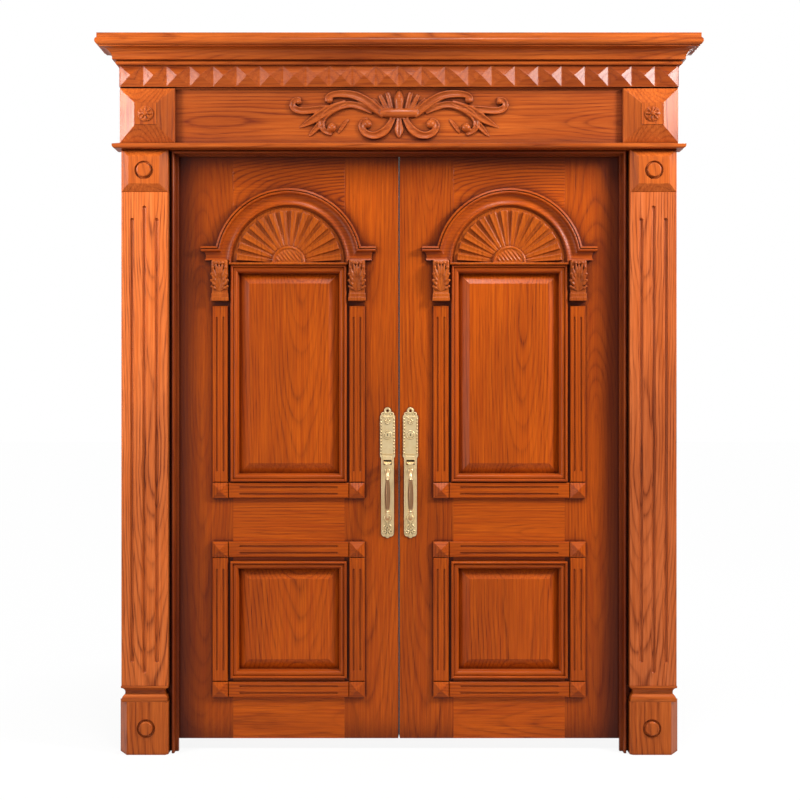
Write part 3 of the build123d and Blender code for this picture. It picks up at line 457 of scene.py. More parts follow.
@dataclass(frozen=True)
class AgedBrass:
    """Cast brass, polished on top and darker in its recesses.

    A band of darker brown round the middle of a grip is a painted reflection, and its depth is set per grip.
    """

    name: str
    bright: Colour = (0.95, 0.74, 0.42, 1.0)
    worn: Colour = (0.88, 0.65, 0.33, 1.0)
    patina: Colour = (0.055, 0.024, 0.008, 1.0)
    antique: Colour = (0.26, 0.11, 0.045, 1.0)
    rough: float = 0.25
    rough_sway: float = 0.14
    reach: float = 0.004
    sleeve: float = 0.0
    sleeve_z: float = 0.884
    sleeve_span: float = 0.10

    def material(self) -> Material:
        """Builds the material.

        Returns:
            The finished material.
        """
        g = Graph(self.name)
        place = g.node("ShaderNodeTexCoord").outputs["Object"]
        cloud = g.noise(place, 60.0, 3.0, 0.6)
        grit = g.noise(place, 900.0, 2.0, 0.6)
        metal = g.blend(g.ramp(cloud, ((0.35, 0.0), (0.70, 1.0))), self.bright, self.worn)
        metal = g.blend(g.ramp(g.openness(self.reach), ((0.30, 0.95), (0.85, 0.0))), metal, self.patina)
        # painted reflection: a darker brown band round the middle of the grip
        if self.sleeve > 0.0:
            off = g.math("ABSOLUTE", g.math("SUBTRACT", g.axes(place)[2], self.sleeve_z))
            band = g.ramp(g.math("DIVIDE", off, self.sleeve_span), ((0.46, self.sleeve), (0.60, 0.0)))
            metal = g.blend(band, metal, self.antique)
        gloss = g.math("MULTIPLY_ADD", cloud, self.rough_sway, self.rough)
        normal = g.relief(grit, strength=0.03, depth=0.0003, rounding=0.0007)
        g.principled(Base_Color=metal, Metallic=0.55, Roughness=gloss, Normal=normal)
        return g.material


@dataclass(frozen=True)
class PaleFloor:
    """White ground that keeps a faint shadow of the door, and is darker to all but the camera."""

    name: str = "pale_floor"
    paint: Colour = (0.90, 0.90, 0.89, 1.0)
    bounce: Colour = (0.40, 0.37, 0.34, 1.0)
    mirrored: float = 0.5
    spread: float = 4.0
    glow: Stops = ((0.25, 0.88), (0.50, 0.99))

    def material(self) -> Material:
        """Builds the material.

        Returns:
            The finished material.
        """
        g = Graph(self.name)
        path = g.node("ShaderNodeLightPath")
        seen = g.math("MAXIMUM", path.outputs["Is Camera Ray"], path.outputs["Is Transmission Ray"])
        seen = g.math("MULTIPLY_ADD", path.outputs["Is Glossy Ray"], self.mirrored, seen)
        far = g.node("ShaderNodeVectorMath", operation="LENGTH")
        g.feed(far.inputs[0], g.node("ShaderNodeTexCoord").outputs["Object"])
        clear = g.ramp(g.math("DIVIDE", far.outputs["Value"], self.spread), self.glow)
        share = g.math("MINIMUM", g.math("MULTIPLY", seen, clear), clear)
        matt = g.node("ShaderNodeBsdfDiffuse")
        g.feed(matt.inputs["Color"], g.blend(path.outputs["Is Camera Ray"], self.bounce, self.paint))
        white = g.node("ShaderNodeEmission")
        white.inputs["Color"].default_value = (1.0, 1.0, 1.0, 1.0)
        mixed = g.node("ShaderNodeMixShader")
        g.feed(mixed.inputs[0], share)
        g.feed(mixed.inputs[1], matt.outputs[0])
        g.feed(mixed.inputs[2], white.outputs[0])
        output = g.node("ShaderNodeOutputMaterial")
        g.feed(output.inputs["Surface"], mixed.outputs[0])
        return g.material


def paint(node: str, material: Material) -> None:
    """Gives one CAD node its finish.

    Args:
        node: name of the node.
        material: the finish.
    """
    for slot in frame["nodes"][node].material_slots:
        slot.material = material
    log.info("dressed %s with %s", node, material.name)


def coat(piece: Object, material: Material) -> None:
    """Gives one new piece its finish.

    Args:
        piece: the piece.
        material: the finish.
    """
    piece.data.materials.clear()
    piece.data.materials.append(material)


def deselect() -> None:
    """Leaves object mode clean, so that an operator acts on new pieces only."""
    if bpy.context.object and bpy.context.object.mode != "OBJECT":
        bpy.ops.object.mode_set(mode="OBJECT")
    bpy.ops.object.select_all(action="DESELECT")


def point_on_plane(place: Pair, y: float) -> Vector:
    """Turns a place on the door's face, in millimetres, into metres at depth y."""
    return Vector((place[0] / MM_PER_M, y, place[1] / MM_PER_M))


def choose(piece: Object) -> None:
    """Selects one piece alone and makes it the active one."""
    deselect()
    piece.select_set(True)
    bpy.context.view_layer.objects.active = piece


def settle(piece: Object) -> None:
    """Puts a piece's place, turn and size into its mesh."""
    choose(piece)
    bpy.ops.object.transform_apply(location=True, rotation=True, scale=True)


def join(pieces: list[Object], name: str) -> Object:
    """Joins meshes into one piece.

    Args:
        pieces: the meshes.
        name: name of the joined piece.

    Returns:
        The joined piece.
    """
    deselect()
    for piece in pieces:
        piece.select_set(True)
    bpy.context.view_layer.objects.active = pieces[0]
    bpy.ops.object.join()
    whole = bpy.context.object
    whole.name = name
    whole.data.name = name
    return whole


def fused(piece: Object, voxel: float, smooth: int) -> None:
    """Grows overlapping solids into one carved surface.

    Args:
        piece: joined mesh of closed solids.
        voxel: size of the remesh, in metres.
        smooth: rounds of smoothing.
    """
    settle(piece)
    remesh = piece.modifiers.new("fuse", "REMESH")
    remesh.mode = "VOXEL"
    remesh.voxel_size = voxel
    remesh.use_smooth_shade = True
    bpy.ops.object.modifier_apply(modifier=remesh.name)
    soften = piece.modifiers.new("soften", "SMOOTH")
    soften.factor = 0.5
    soften.iterations = smooth
    bpy.ops.object.modifier_apply(modifier=soften.name)


def flat_curve(kind: str, points: list[Pair]) -> Object:
    """Draws a flat curve.

    Args:
        kind: Blender's name of the kind of spline.
        points: its points.

    Returns:
        The curve object, with one spline.
    """
    deselect()
    bpy.ops.curve.primitive_nurbs_path_add(location=(0.0, 0.0, 0.0))
    drawn = bpy.context.object
    drawn.data.dimensions = "2D"
    drawn.data.splines.clear()
    spline = drawn.data.splines.new(kind)
    spline.points.add(len(points) - 1)
    for point, (x, y) in zip(spline.points, points):
        point.co = (x, y, 0.0, 1.0)
    return drawn


@dataclass(frozen=True)
class Gouge:
    """Section of a carved stem: half of its outline, from the bottom edge to the middle."""

    half: tuple[Pair, ...] = (
        (1.0, -0.5), (1.0, 0.15), (0.94, 0.55), (0.80, 0.78), (0.62, 0.76), (0.38, 0.48), (0.0, 0.36))

    def section(self) -> Object:
        """Draws the closed section as a curve.

        Returns:
            The curve object, one metre to the half width.
        """
        outline = list(self.half) + [(-x, y) for x, y in reversed(self.half[:-1])]
        drawn = flat_curve("POLY", outline)
        drawn.data.splines[0].use_cyclic_u = True
        return drawn

    def stem(self, line: list[Pair], halves: list[float], y: float) -> Object:
        """Carves one stem along a line on the door's face.

        Args:
            line: points in millimetres, X and Z.
            halves: half width at each point, in millimetres.
            y: depth of the board behind the stem.

        Returns:
            The stem as a mesh.
        """
        section = self.section()
        path = flat_curve("NURBS", [(x / MM_PER_M, z / MM_PER_M) for x, z in line])
        data, spline = path.data, path.data.splines[0]
        for point, half in zip(spline.points, halves):
            point.radius = half / MM_PER_M
        spline.order_u = 3
        spline.use_endpoint_u = True
        spline.resolution_u = 8
        data.bevel_mode = "OBJECT"
        data.bevel_object = section
        data.use_fill_caps = True
        path.rotation_euler = (math.pi / 2, 0.0, 0.0)
        path.location = (0.0, y, 0.0)
        choose(path)
        bpy.ops.object.convert(target="MESH")
        bpy.data.objects.remove(section)
        carved = bpy.context.object
        settle(carved)
        return carved


def knob(place: Pair, half: Pair, rise: float, y: float) -> Object:
    """Half-round knob on the door's face.

    Args:
        place: its centre in millimetres, X and Z.
        half: half of its width and height, in millimetres.
        rise: how far it stands out, in millimetres.
        y: depth of the board behind it.

    Returns:
        The knob as a mesh.
    """
    deselect()
    bpy.ops.mesh.primitive_uv_sphere_add(segments=24, ring_count=12, radius=1.0 / MM_PER_M,
                                         location=point_on_plane(place, y))
    ball = bpy.context.object
    ball.scale = (half[0], rise, half[1])
    settle(ball)
    bpy.ops.object.mode_set(mode="EDIT")
    bpy.ops.mesh.select_all(action="SELECT")
    bpy.ops.mesh.bisect(plane_co=(0.0, y + KNOB_SINK, 0.0), plane_no=(0.0, 1.0, 0.0), clear_outer=True,
                        use_fill=True)
    bpy.ops.object.mode_set(mode="OBJECT")
    return ball


@dataclass
class Foliage:
    """Carved foliage of the frieze: one half is drawn, and the other one mirrors it.

    Everything is set out from the middle of the frieze. A stem is its line and its half widths, an
    eye its place and radius, and a step of the bud, drop and binding its place and half width.
    """

    middle_z: float = 2173.0
    board_y: float = -0.0325
    stems: tuple[tuple[tuple[Pair, ...], tuple[float, ...]], ...] = (
        (((20, -4), (34, -37), (61, -60), (89, -68), (117, -57), (131, -34), (124, -14), (106, -12)),
         (9, 13, 15, 14, 12, 10, 9, 8)),
        (((50, 4), (80, 27), (106, 49), (145, 71), (184, 77), (222, 76), (246, 66), (244, 50)),
         (12, 15, 16, 15, 14, 12, 10, 8)),
        (((90, 14), (122, 30), (160, 42), (200, 36), (236, 18), (261, -6), (265, -34), (250, -54), (228, -58)),
         (7, 11, 12, 13, 13, 12, 11, 9, 8)),
        (((180, 48), (228, 30), (266, 5), (304, -20), (341, -38)), (9, 14, 16, 13, 2)),
        (((222, 32), (260, 26), (300, 20), (334, 18), (359, 26), (364, 46), (350, 60), (335, 56)),
         (8, 12, 13, 13, 12, 11, 9, 8)),
        (((256, -12), (280, -38), (307, -68)), (6, 16, 2)),
        (((172, -8), (190, -30), (208, -56)), (3, 10, 4)),
        (((24, 22), (33, 56), (40, 82)), (6, 11, 7)),
        (((40, 22), (54, 50), (66, 74)), (6, 11, 6)),
        (((55, 20), (74, 42), (90, 62)), (6, 10, 5)),
    )
    eyes: tuple[Triple, ...] = ((108, -26, 15), (236, 55, 12), (229, -38, 16), (341, 49, 10))
    eye_rise: float = 17.0
    bud: tuple[Pair, ...] = ((18, 11.0), (50, 19.0), (74, 14.0), (91, 3.0))
    drop: tuple[Pair, ...] = ((0, 7.0), (-30, 12.0), (-52, 19.0), (-73, 3.0))
    binding: tuple[Pair, ...] = ((-64.0, 12.0), (-40.0, 16.5), (0.0, 17.0), (40.0, 16.5), (64.0, 12.0))
    binding_z: float = 11.0

    def build(self) -> None:
        """Carves the foliage and puts it in place of its plain solid."""
        gouge = Gouge()
        round_back = Gouge(((1.0, -0.5), (1.0, 0.1), (0.86, 0.52), (0.55, 0.85), (0.0, 1.0)))
        pieces = []
        for side in (-1, 1):
            for line, halves in self.stems:
                places = [(side * x, self.middle_z + z) for x, z in line]
                pieces.append(gouge.stem(places, list(halves), self.board_y))
            for x, z, radius in self.eyes:
                pieces.append(knob((side * x, self.middle_z + z), (radius, radius), self.eye_rise, self.board_y))
        for tool, upright in ((round_back, self.bud), (gouge, self.drop)):
            line = [(0.0, self.middle_z + z) for z, _ in upright]
            pieces.append(tool.stem(line, [half for _, half in upright], self.board_y))
        line = [(x, self.middle_z + self.binding_z) for x, _ in self.binding]
        pieces.append(round_back.stem(line, [half for _, half in self.binding], self.board_y))
        carving = join(pieces, "foliage")
        fused(carving, voxel=0.0018, smooth=2)
        # painted shade: the hollows of the foliage go nearly black
        wood = StainedBoard("foliage_wood", GrainRun.LEVEL, (0.0, 0.06, 2.30), ring=0.009, figure=0.15, recess=0.98,
                            hollow_reach=0.026, hollow_end=0.92, light=(0.62, 0.145, 0.026, 1.0),
                            middle=(0.43, 0.080, 0.010, 1.0))
        coat(carving, wood.material())
        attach(carving, "frame")
        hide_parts("frieze_carving")
        log.info("carved the foliage of the frieze")


def bar(start: Vector, end: Vector, half: float, taper: float = 1.0) -> Object:
    """Round bar that swells in the middle, as a carved rib or vein.

    Args:
        start: one end, in metres.
        end: the other end.
        half: half of its thickness in the middle, in metres.
        taper: thickness towards the far end as a share of the near one.

    Returns:
        The bar as a mesh.
    """
    run = end - start
    deselect()
    bpy.ops.mesh.primitive_uv_sphere_add(segments=12, ring_count=10, radius=1.0)
    ball = bpy.context.object
    bpy.ops.object.mode_set(mode="EDIT")
    bpy.ops.mesh.select_all(action="DESELECT")
    bpy.ops.object.mode_set(mode="OBJECT")
    far_part = 0.25
    for vertex in ball.data.vertices:
        vertex.select = vertex.co.z > far_part
    bpy.ops.object.mode_set(mode="EDIT")
    bpy.ops.transform.resize(value=(taper, taper, 1.0))
    bpy.ops.object.mode_set(mode="OBJECT")
    ball.scale = (half, half, run.length / 2)
    ball.rotation_euler = run.to_track_quat("Z", "Y").to_euler()
    ball.location = (start + end) / 2
    settle(ball)
    return ball


def board(low: Vector, high: Vector, edge: float) -> Object:
    """Block with softened edges.

    Args:
        low: lower corner, in metres.
        high: upper corner.
        edge: width of the softened edges.

    Returns:
        The block as a mesh.
    """
    deselect()
    bpy.ops.mesh.primitive_cube_add(size=1.0, location=(low + high) / 2)
    cut = bpy.context.object
    cut.scale = high - low
    settle(cut)
    bpy.ops.object.mode_set(mode="EDIT")
    bpy.ops.mesh.select_all(action="SELECT")
    bpy.ops.mesh.bevel(offset=edge, segments=2, affect="EDGES")
    bpy.ops.object.mode_set(mode="OBJECT")
    return cut


@dataclass
class Sunburst:
    """Half-round board with rays about a hatched hub, on a sill.

    The foot of the rays and of the hub's rim, the reach of the sill and the half thickness of the
    hatching are in metres, and the other sizes in millimetres.
    """

    side: Side
    centre: Pair = (380.0, 1679.0)
    leaf_y: float = 0.0155
    radius: float = 192.7
    rays: int = 14
    ray_start: float = 60.0
    ray_end: float = 180.0
    ray_steps: int = 4
    ray_share: float = 0.63
    ray_foot: float = 0.004
    disc_rise: float = 6.0
    hub: float = 57.0
    hub_rise: float = 15.0
    rim_foot: float = 0.0145
    rim_inset: float = 4.0
    rim_half: float = 4.2
    rim_steps: int = 12
    hatch_inset: float = 9.0
    hatch_rows: int = 4
    hatch_pitch: float = 11.0
    hatch_slope: float = math.radians(52.0)
    hatch_half: float = 0.0034
    hatch_floor: float = 4.0
    hatch_least: float = 10.0
    sill_half: float = 205.5
    sill_drop: float = 7.0
    sill_reach: float = 0.0235

    def build(self) -> None:
        """Carves the sunburst and puts it in place of its plain solid."""
        x, z = self.side.value * self.centre[0], self.centre[1]
        pieces = [self.disc(x, z, self.radius, self.disc_rise), self.disc(x, z, self.hub, self.hub_rise)]
        pieces += self.rim(x, z) + self.fan(x, z)
        pieces.append(board(point_on_plane((x - self.sill_half, z - self.sill_drop), self.leaf_y - self.sill_reach),
                            point_on_plane((x + self.sill_half, z), self.leaf_y + 0.001), edge=0.0012))
        word = self.side.word
        carved = join(pieces, word + "_sunburst_carving")
        fused(carved, voxel=0.0015, smooth=1)
        heart = (x / MM_PER_M, 0.07, 1.2)
        # painted shade: the grooves between the rays go nearly black
        wood = StainedBoard(word + "_sunburst_wood", heart=heart, tone=0.05, figure=0.22, recess=0.98, hollow_end=0.86,
                            light=(0.70, 0.150, 0.008, 1.0), middle=(0.52, 0.085, 0.004, 1.0))
        coat(carved, wood.material())
        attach(carved, word + "_leaf")
        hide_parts(word + "_sunburst")
        log.info("carved the %s sunburst", word)

    def disc(self, x: float, z: float, radius: float, rise: float) -> Object:
        """Half-round plate.

        Args:
            x: its centre in millimetres.
            z: height of its straight edge.
            radius: its radius.
            rise: how far it stands out from the leaf.

        Returns:
            The plate as a mesh.
        """
        deselect()
        middle_y = self.leaf_y - rise / 2 / MM_PER_M
        bpy.ops.mesh.primitive_cylinder_add(vertices=128, radius=radius / MM_PER_M, depth=rise / MM_PER_M,
                                            location=point_on_plane((x, z), middle_y),
                                            rotation=(math.pi / 2, 0.0, 0.0))
        plate = bpy.context.object
        settle(plate)
        bpy.ops.object.mode_set(mode="EDIT")
        bpy.ops.mesh.select_all(action="SELECT")
        bpy.ops.mesh.bisect(plane_co=(0.0, 0.0, z / MM_PER_M - 0.003), plane_no=(0.0, 0.0, 1.0),
                            clear_inner=True, use_fill=True)
        bpy.ops.object.mode_set(mode="OBJECT")
        return plate

    def fan(self, x: float, z: float) -> list[Object]:
        """Rays, each wider towards its end.

        Args:
            x: the hub's centre in millimetres.
            z: height of its straight edge.

        Returns:
            The rays.
        """
        blade = Gouge(((1.0, -0.3), (1.0, 0.55), (0.93, 0.80), (0.78, 0.92), (0.58, 0.86), (0.0, 0.74)))
        sector = math.pi / self.rays
        length = self.ray_end - self.ray_start
        reaches = [self.ray_start + length * k / self.ray_steps for k in range(self.ray_steps + 1)]
        halves = [reach * math.tan(sector / 2) * self.ray_share for reach in reaches]
        made = []
        for i in range(self.rays):
            angle = (i + 0.5) * sector
            line = [(x + reach * math.cos(angle), z + reach * math.sin(angle)) for reach in reaches]
            made.append(blade.stem(line, halves, self.leaf_y - self.ray_foot))
        return made

    def rim(self, x: float, z: float) -> list[Object]:
        """Raised rim of the hub and the slanting ribs inside it.

        Args:
            x: the hub's centre in millimetres.
            z: height of its straight edge.

        Returns:
            The rim and the ribs.
        """
        round_back = Gouge(((1.0, -0.5), (1.0, 0.3), (0.8, 0.8), (0.0, 1.0)))
        hub_y = self.leaf_y - self.rim_foot
        arc = [math.pi * k / self.rim_steps for k in range(self.rim_steps + 1)]
        middle = self.hub - self.rim_inset
        ring = [(x + middle * math.cos(a), z + middle * math.sin(a)) for a in arc]
        pieces = [round_back.stem(ring, [self.rim_half] * len(ring), hub_y)]
        cosine, sine = math.cos(self.hatch_slope), math.sin(self.hatch_slope)
        inner = self.hub - self.hatch_inset
        for k in range(-self.hatch_rows, self.hatch_rows + 1):
            offset = k * self.hatch_pitch
            reach = math.sqrt(inner ** 2 - offset ** 2)
            foot = (offset * sine, offset * cosine)
            ends = [(foot[0] - t * cosine, foot[1] + t * sine) for t in (-reach, reach)]
            if max(ends[0][1], ends[1][1]) < self.hatch_least:
                continue
            ends = [self.above(ends[0], ends[1]), self.above(ends[1], ends[0])]
            start, end = (point_on_plane((x + e[0], z + e[1]), hub_y) for e in ends)
            pieces.append(bar(start, end, self.hatch_half))
        return pieces

    def above(self, end: Pair, other: Pair) -> Pair:
        """Pulls a rib's end up to the hub's straight edge where it lies below it.

        Args:
            end: the end, in millimetres from the hub's centre.
            other: the rib's other end.

        Returns:
            The end as it was, or pulled up along the rib.
        """
        floor = self.hatch_floor
        if end[1] >= floor or other[1] <= floor:
            return end
        share = (floor - end[1]) / (other[1] - end[1])
        return (end[0] + (other[0] - end[0]) * share, floor)


@dataclass
class Corbels:
    """Brackets under the ears of the arch: a fan of leaf ribs on a swelling block, over a moulded foot.

    A block is its inset from the side, its lower and upper height in millimetres above the foot,
    and in metres its reach from the leaf, how deep it lies in it and its softened edges. A rib of
    the fan is how far across and up its tip lies, in millimetres, and half of its thickness in metres.
    """

    side: Side
    places: Pair = (144.5, 615.5)
    leaf_y: float = 0.0155
    foot_z: float = 1547.0
    top_z: float = 1688.0
    width: float = 60.0
    blocks: tuple[tuple[float, ...], ...] = (
        (3.0, 20.0, 141.0, 0.021, 0.0004, 0.001),
        (0.0, 0.0, 13.0, 0.0268, 0.0004, 0.0015),
        (1.0, 12.0, 27.0, 0.0235, 0.0004, 0.002),
        (2.0, 79.0, 141.0, 0.0325, 0.0, 0.006))
    swell_from: float = 26.0
    swell_base: float = 22.0
    swell: float = 18.0
    roll: Pair = (17.0, 18.0)
    roll_half: float = 0.0045
    root_up: float = 33.0
    rib_sink: float = 3.0
    tip_sink: float = 4.0
    rib_taper: float = 2.1
    tip_share: float = 1.9
    fan: tuple[Triple, ...] = (
        (26.0, 50.0, 0.0026), (26.5, 70.0, 0.0028), (25.0, 92.0, 0.0030), (21.5, 114.0, 0.0031),
        (11.0, 130.0, 0.0030), (0.0, 128.0, 0.0032))

    def reach(self, z: float) -> float:
        """How far the bracket's face stands out at a height, in millimetres."""
        share = (z - self.foot_z - self.swell_from) / (self.top_z - self.foot_z - self.swell_from)
        return self.swell_base + self.swell * math.sin(max(0.0, min(1.0, share)) * math.pi / 2)

    def spot(self, x: float, place: Pair, sink: float) -> Vector:
        """Point on the bracket's face.

        Args:
            x: the bracket's centre in millimetres.
            place: millimetres across from the centre and up from the foot.
            sink: how deep it lies below the face, in millimetres.

        Returns:
            The point in metres.
        """
        z = self.foot_z + place[1]
        return point_on_plane((x + place[0], z), self.leaf_y - (self.reach(z) - sink) / MM_PER_M)

    def build(self) -> None:
        """Carves both brackets and puts them in place of their plain solids."""
        word = self.side.word
        pieces = []
        for place in self.places:
            pieces += self.bracket(self.side.value * place)
        carved = join(pieces, word + "_corbel_carving")
        fused(carved, voxel=0.0011, smooth=1)
        # painted shade: the hollows of the corbels go nearly black
        wood = StainedBoard(word + "_corbel_wood", heart=(self.side.value * 0.3, 0.05, 1.5), figure=0.15,
                            recess=0.98, hollow_end=0.92, light=(0.66, 0.150, 0.018, 1.0),
                            middle=(0.46, 0.080, 0.006, 1.0))
        coat(carved, wood.material())
        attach(carved, word + "_leaf")
        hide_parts(word + "_corbels")
        log.info("carved the %s corbels", word)

    def bracket(self, x: float) -> list[Object]:
        """Solids of one bracket.

        Args:
            x: its centre in millimetres.

        Returns:
            The overlapping solids.
        """
        pieces = []
        for inset, low, high, reach, sink, edge in self.blocks:
            half = self.width / 2 - inset
            pieces.append(board(point_on_plane((x - half, self.foot_z + low), self.leaf_y - reach),
                                point_on_plane((x + half, self.foot_z + high), self.leaf_y + sink), edge))
        across, up = self.roll
        left, right = (self.spot(x, (way * across, up), self.tip_sink) for way in (-1, 1))
        pieces.append(bar(left, right, self.roll_half))
        root = self.spot(x, (0.0, self.root_up), self.rib_sink)
        for across, up, half in self.fan:
            for way in ((-1, 1) if across else (0,)):
                tip = (way * across, up)
                pieces.append(bar(root, self.spot(x, tip, self.rib_sink), half, self.rib_taper))
                pieces.append(bead(self.spot(x, tip, self.tip_sink), half * self.tip_share))
        return pieces


def bead(place: Vector, radius: float) -> Object:
    """Small round bead, a little flattened towards the street.

    Args:
        place: its centre, in metres.
        radius: its radius, in metres.

    Returns:
        The bead as a mesh.
    """
    deselect()
    bpy.ops.mesh.primitive_uv_sphere_add(segments=16, ring_count=10, radius=radius, location=place)
    ball = bpy.context.object
    ball.scale = (1.0, 0.8, 1.0)
    settle(ball)
    return ball


def hoop(place: Pair, radius: float, thick: float, y: float) -> Object:
    """Round wire ring that lies on the door's face.

    Args:
        place: its centre in millimetres, X and Z.
        radius: radius of its middle line, in millimetres.
        thick: half of its thickness, in millimetres.
        y: depth of its middle plane.

    Returns:
        The ring as a mesh.
    """
    deselect()
    bpy.ops.mesh.primitive_torus_add(location=point_on_plane(place, y), rotation=(math.pi / 2, 0.0, 0.0),
                                     major_segments=40, minor_segments=12,
                                     major_radius=radius / MM_PER_M, minor_radius=thick / MM_PER_M)
    ring = bpy.context.object
    settle(ring)
    return ring


@dataclass
class HandleTrim:
    """Cast ornament of one outer handle plate: toothed head, rosettes, scrolls and foot.

    A ring is its radius and half of its thickness, and a rosette its height and the reach of its
    petals. The places of a leaf's two ends are across from the plate's middle, and in height.
    """

    side: Side
    handle_x: float = 39.5
    plate_y: float = 0.0125
    field_y: float = 0.0105
    leaf_y: float = 0.0155
    tooth_from: float = 1025.0
    tooth_pitch: float = 10.6
    tooth_count: int = 12
    tooth_x: float = 22.4
    tooth_half: Pair = (3.4, 3.6)
    tooth_rise: float = 4.4
    petals: int = 8
    head_rosette: Pair = (1133.0, 10.0)
    foot_rosette: Pair = (765.0, 8.5)
    rosette_rise: float = 4.2
    cylinder_z: float = 1087.0
    cylinder_ring: Pair = (13.4, 2.0)
    scroll: Pair = (14.5, 1158.0)
    scroll_ring: Pair = (5.4, 2.3)
    scroll_eye: float = 2.4
    scroll_rise: float = 3.4
    brow: tuple[Pair, Pair] = ((17.0, 1151.0), (6.0, 1146.0))
    brow_half: float = 0.0026
    finial_z: float = 1169.5
    finial_ring: Pair = (8.4, 2.4)
    foot_scroll: Pair = (11.5, 753.5)
    foot_scroll_ring: Pair = (5.2, 2.5)
    foot_leaf: tuple[Pair, Pair] = ((16.0, 768.0), (5.0, 780.0))
    foot_leaf_half: float = 0.0028
    drop_z: float = 742.5
    drop_half: Pair = (6.0, 9.0)
    drop_rise: float = 4.2
    grip_leaf: Pair = (796.0, 778.0)
    grip_leaf_half: float = 0.0058

    def build(self, brass: Material) -> None:
        """Models the ornament and lets it ride on the leaf.

        Args:
            brass: the finish.
        """
        x = self.side.value * self.handle_x
        pieces = self.teeth(x) + self.head(x) + self.foot(x)
        word = self.side.word
        trim = join(pieces, word + "_handle_trim")
        choose(trim)
        bpy.ops.object.shade_smooth_by_angle(angle=math.radians(40.0))
        coat(trim, brass)
        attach(trim, word + "_leaf")
        log.info("added the ornament of the %s handle", word)

    def teeth(self, x: float) -> list[Object]:
        """Rows of teeth along both edges of the head.

        Args:
            x: the plate's middle in millimetres.

        Returns:
            The teeth.
        """
        first = knob((x - self.tooth_x, self.tooth_from), self.tooth_half, self.tooth_rise, self.plate_y)
        pieces = [first]
        places = [(way, i) for way in (0, 2) for i in range(self.tooth_count)]
        for way, i in places[1:]:
            tooth = first.copy()
            tooth.data = first.data.copy()
            bpy.context.collection.objects.link(tooth)
            tooth.location = (way * self.tooth_x / MM_PER_M, 0.0, i * self.tooth_pitch / MM_PER_M)
            settle(tooth)
            pieces.append(tooth)
        return pieces

    def rosette(self, x: float, z: float, radius: float) -> list[Object]:
        """Ring of petals about a knob.

        Args:
            x: its centre in millimetres.
            z: its height in millimetres.
            radius: reach of the petals.

        Returns:
            The knob and the petals.
        """
        y = self.field_y - 0.0002
        made = [knob((x, z), (radius * 0.34, radius * 0.34), self.rosette_rise, y)]
        for i in range(self.petals):
            angle = 2 * math.pi * (i + 0.5) / self.petals
            start, end = (point_on_plane((x + r * math.cos(angle), z + r * math.sin(angle)), y - 0.0008)
                          for r in (radius * 0.30, radius))
            made.append(bar(start, end, radius * 0.00025, 1.3))
        return made

    def sprig(self, x: float, ends: tuple[Pair, Pair], half: float, way: int) -> Object:
        """Small leaf that rises towards its second end.

        Args:
            x: the plate's middle in millimetres.
            ends: places of both ends.
            half: half of its thickness, in metres.
            way: side of the plate, as the sign of X.

        Returns:
            The leaf as a mesh.
        """
        start, end = (point_on_plane((x + way * across, z), self.field_y - rise)
                      for (across, z), rise in zip(ends, (0.0004, 0.0008)))
        return bar(start, end, half)

    def head(self, x: float) -> list[Object]:
        """Rosette, ring of the key cylinder, scrolls beside the finial and the finial's ring.

        Args:
            x: the plate's middle in millimetres.

        Returns:
            The pieces of the head.
        """
        made = self.rosette(x, *self.head_rosette)
        made.append(hoop((x, self.cylinder_z), *self.cylinder_ring, self.field_y - 0.0010))
        for way in (-1, 1):
            place = (x + way * self.scroll[0], self.scroll[1])
            made.append(hoop(place, *self.scroll_ring, self.leaf_y - 0.0018))
            made.append(knob(place, (self.scroll_eye, self.scroll_eye), self.scroll_rise, self.leaf_y - 0.0005))
            made.append(self.sprig(x, self.brow, self.brow_half, way))
        made.append(hoop((x, self.finial_z), *self.finial_ring, self.plate_y - 0.0002))
        return made

    def foot(self, x: float) -> list[Object]:
        """Rosette, scrolls and drop below the grip, and the leaf at the grip's foot.

        Args:
            x: the plate's middle in millimetres.

        Returns:
            The pieces of the foot.
        """
        made = self.rosette(x, *self.foot_rosette)
        for way in (-1, 1):
            place = (x + way * self.foot_scroll[0], self.foot_scroll[1])
            made.append(hoop(place, *self.foot_scroll_ring, self.field_y - 0.0004))
            made.append(self.sprig(x, self.foot_leaf, self.foot_leaf_half, way))
        made.append(knob((x, self.drop_z), self.drop_half, self.drop_rise, self.plate_y + 0.0005))
        top, tip = self.grip_leaf
        made.append(bar(point_on_plane((x, top), self.field_y - 0.0010),
                        point_on_plane((x, tip), self.field_y - 0.0004), self.grip_leaf_half, 0.6))
        return made


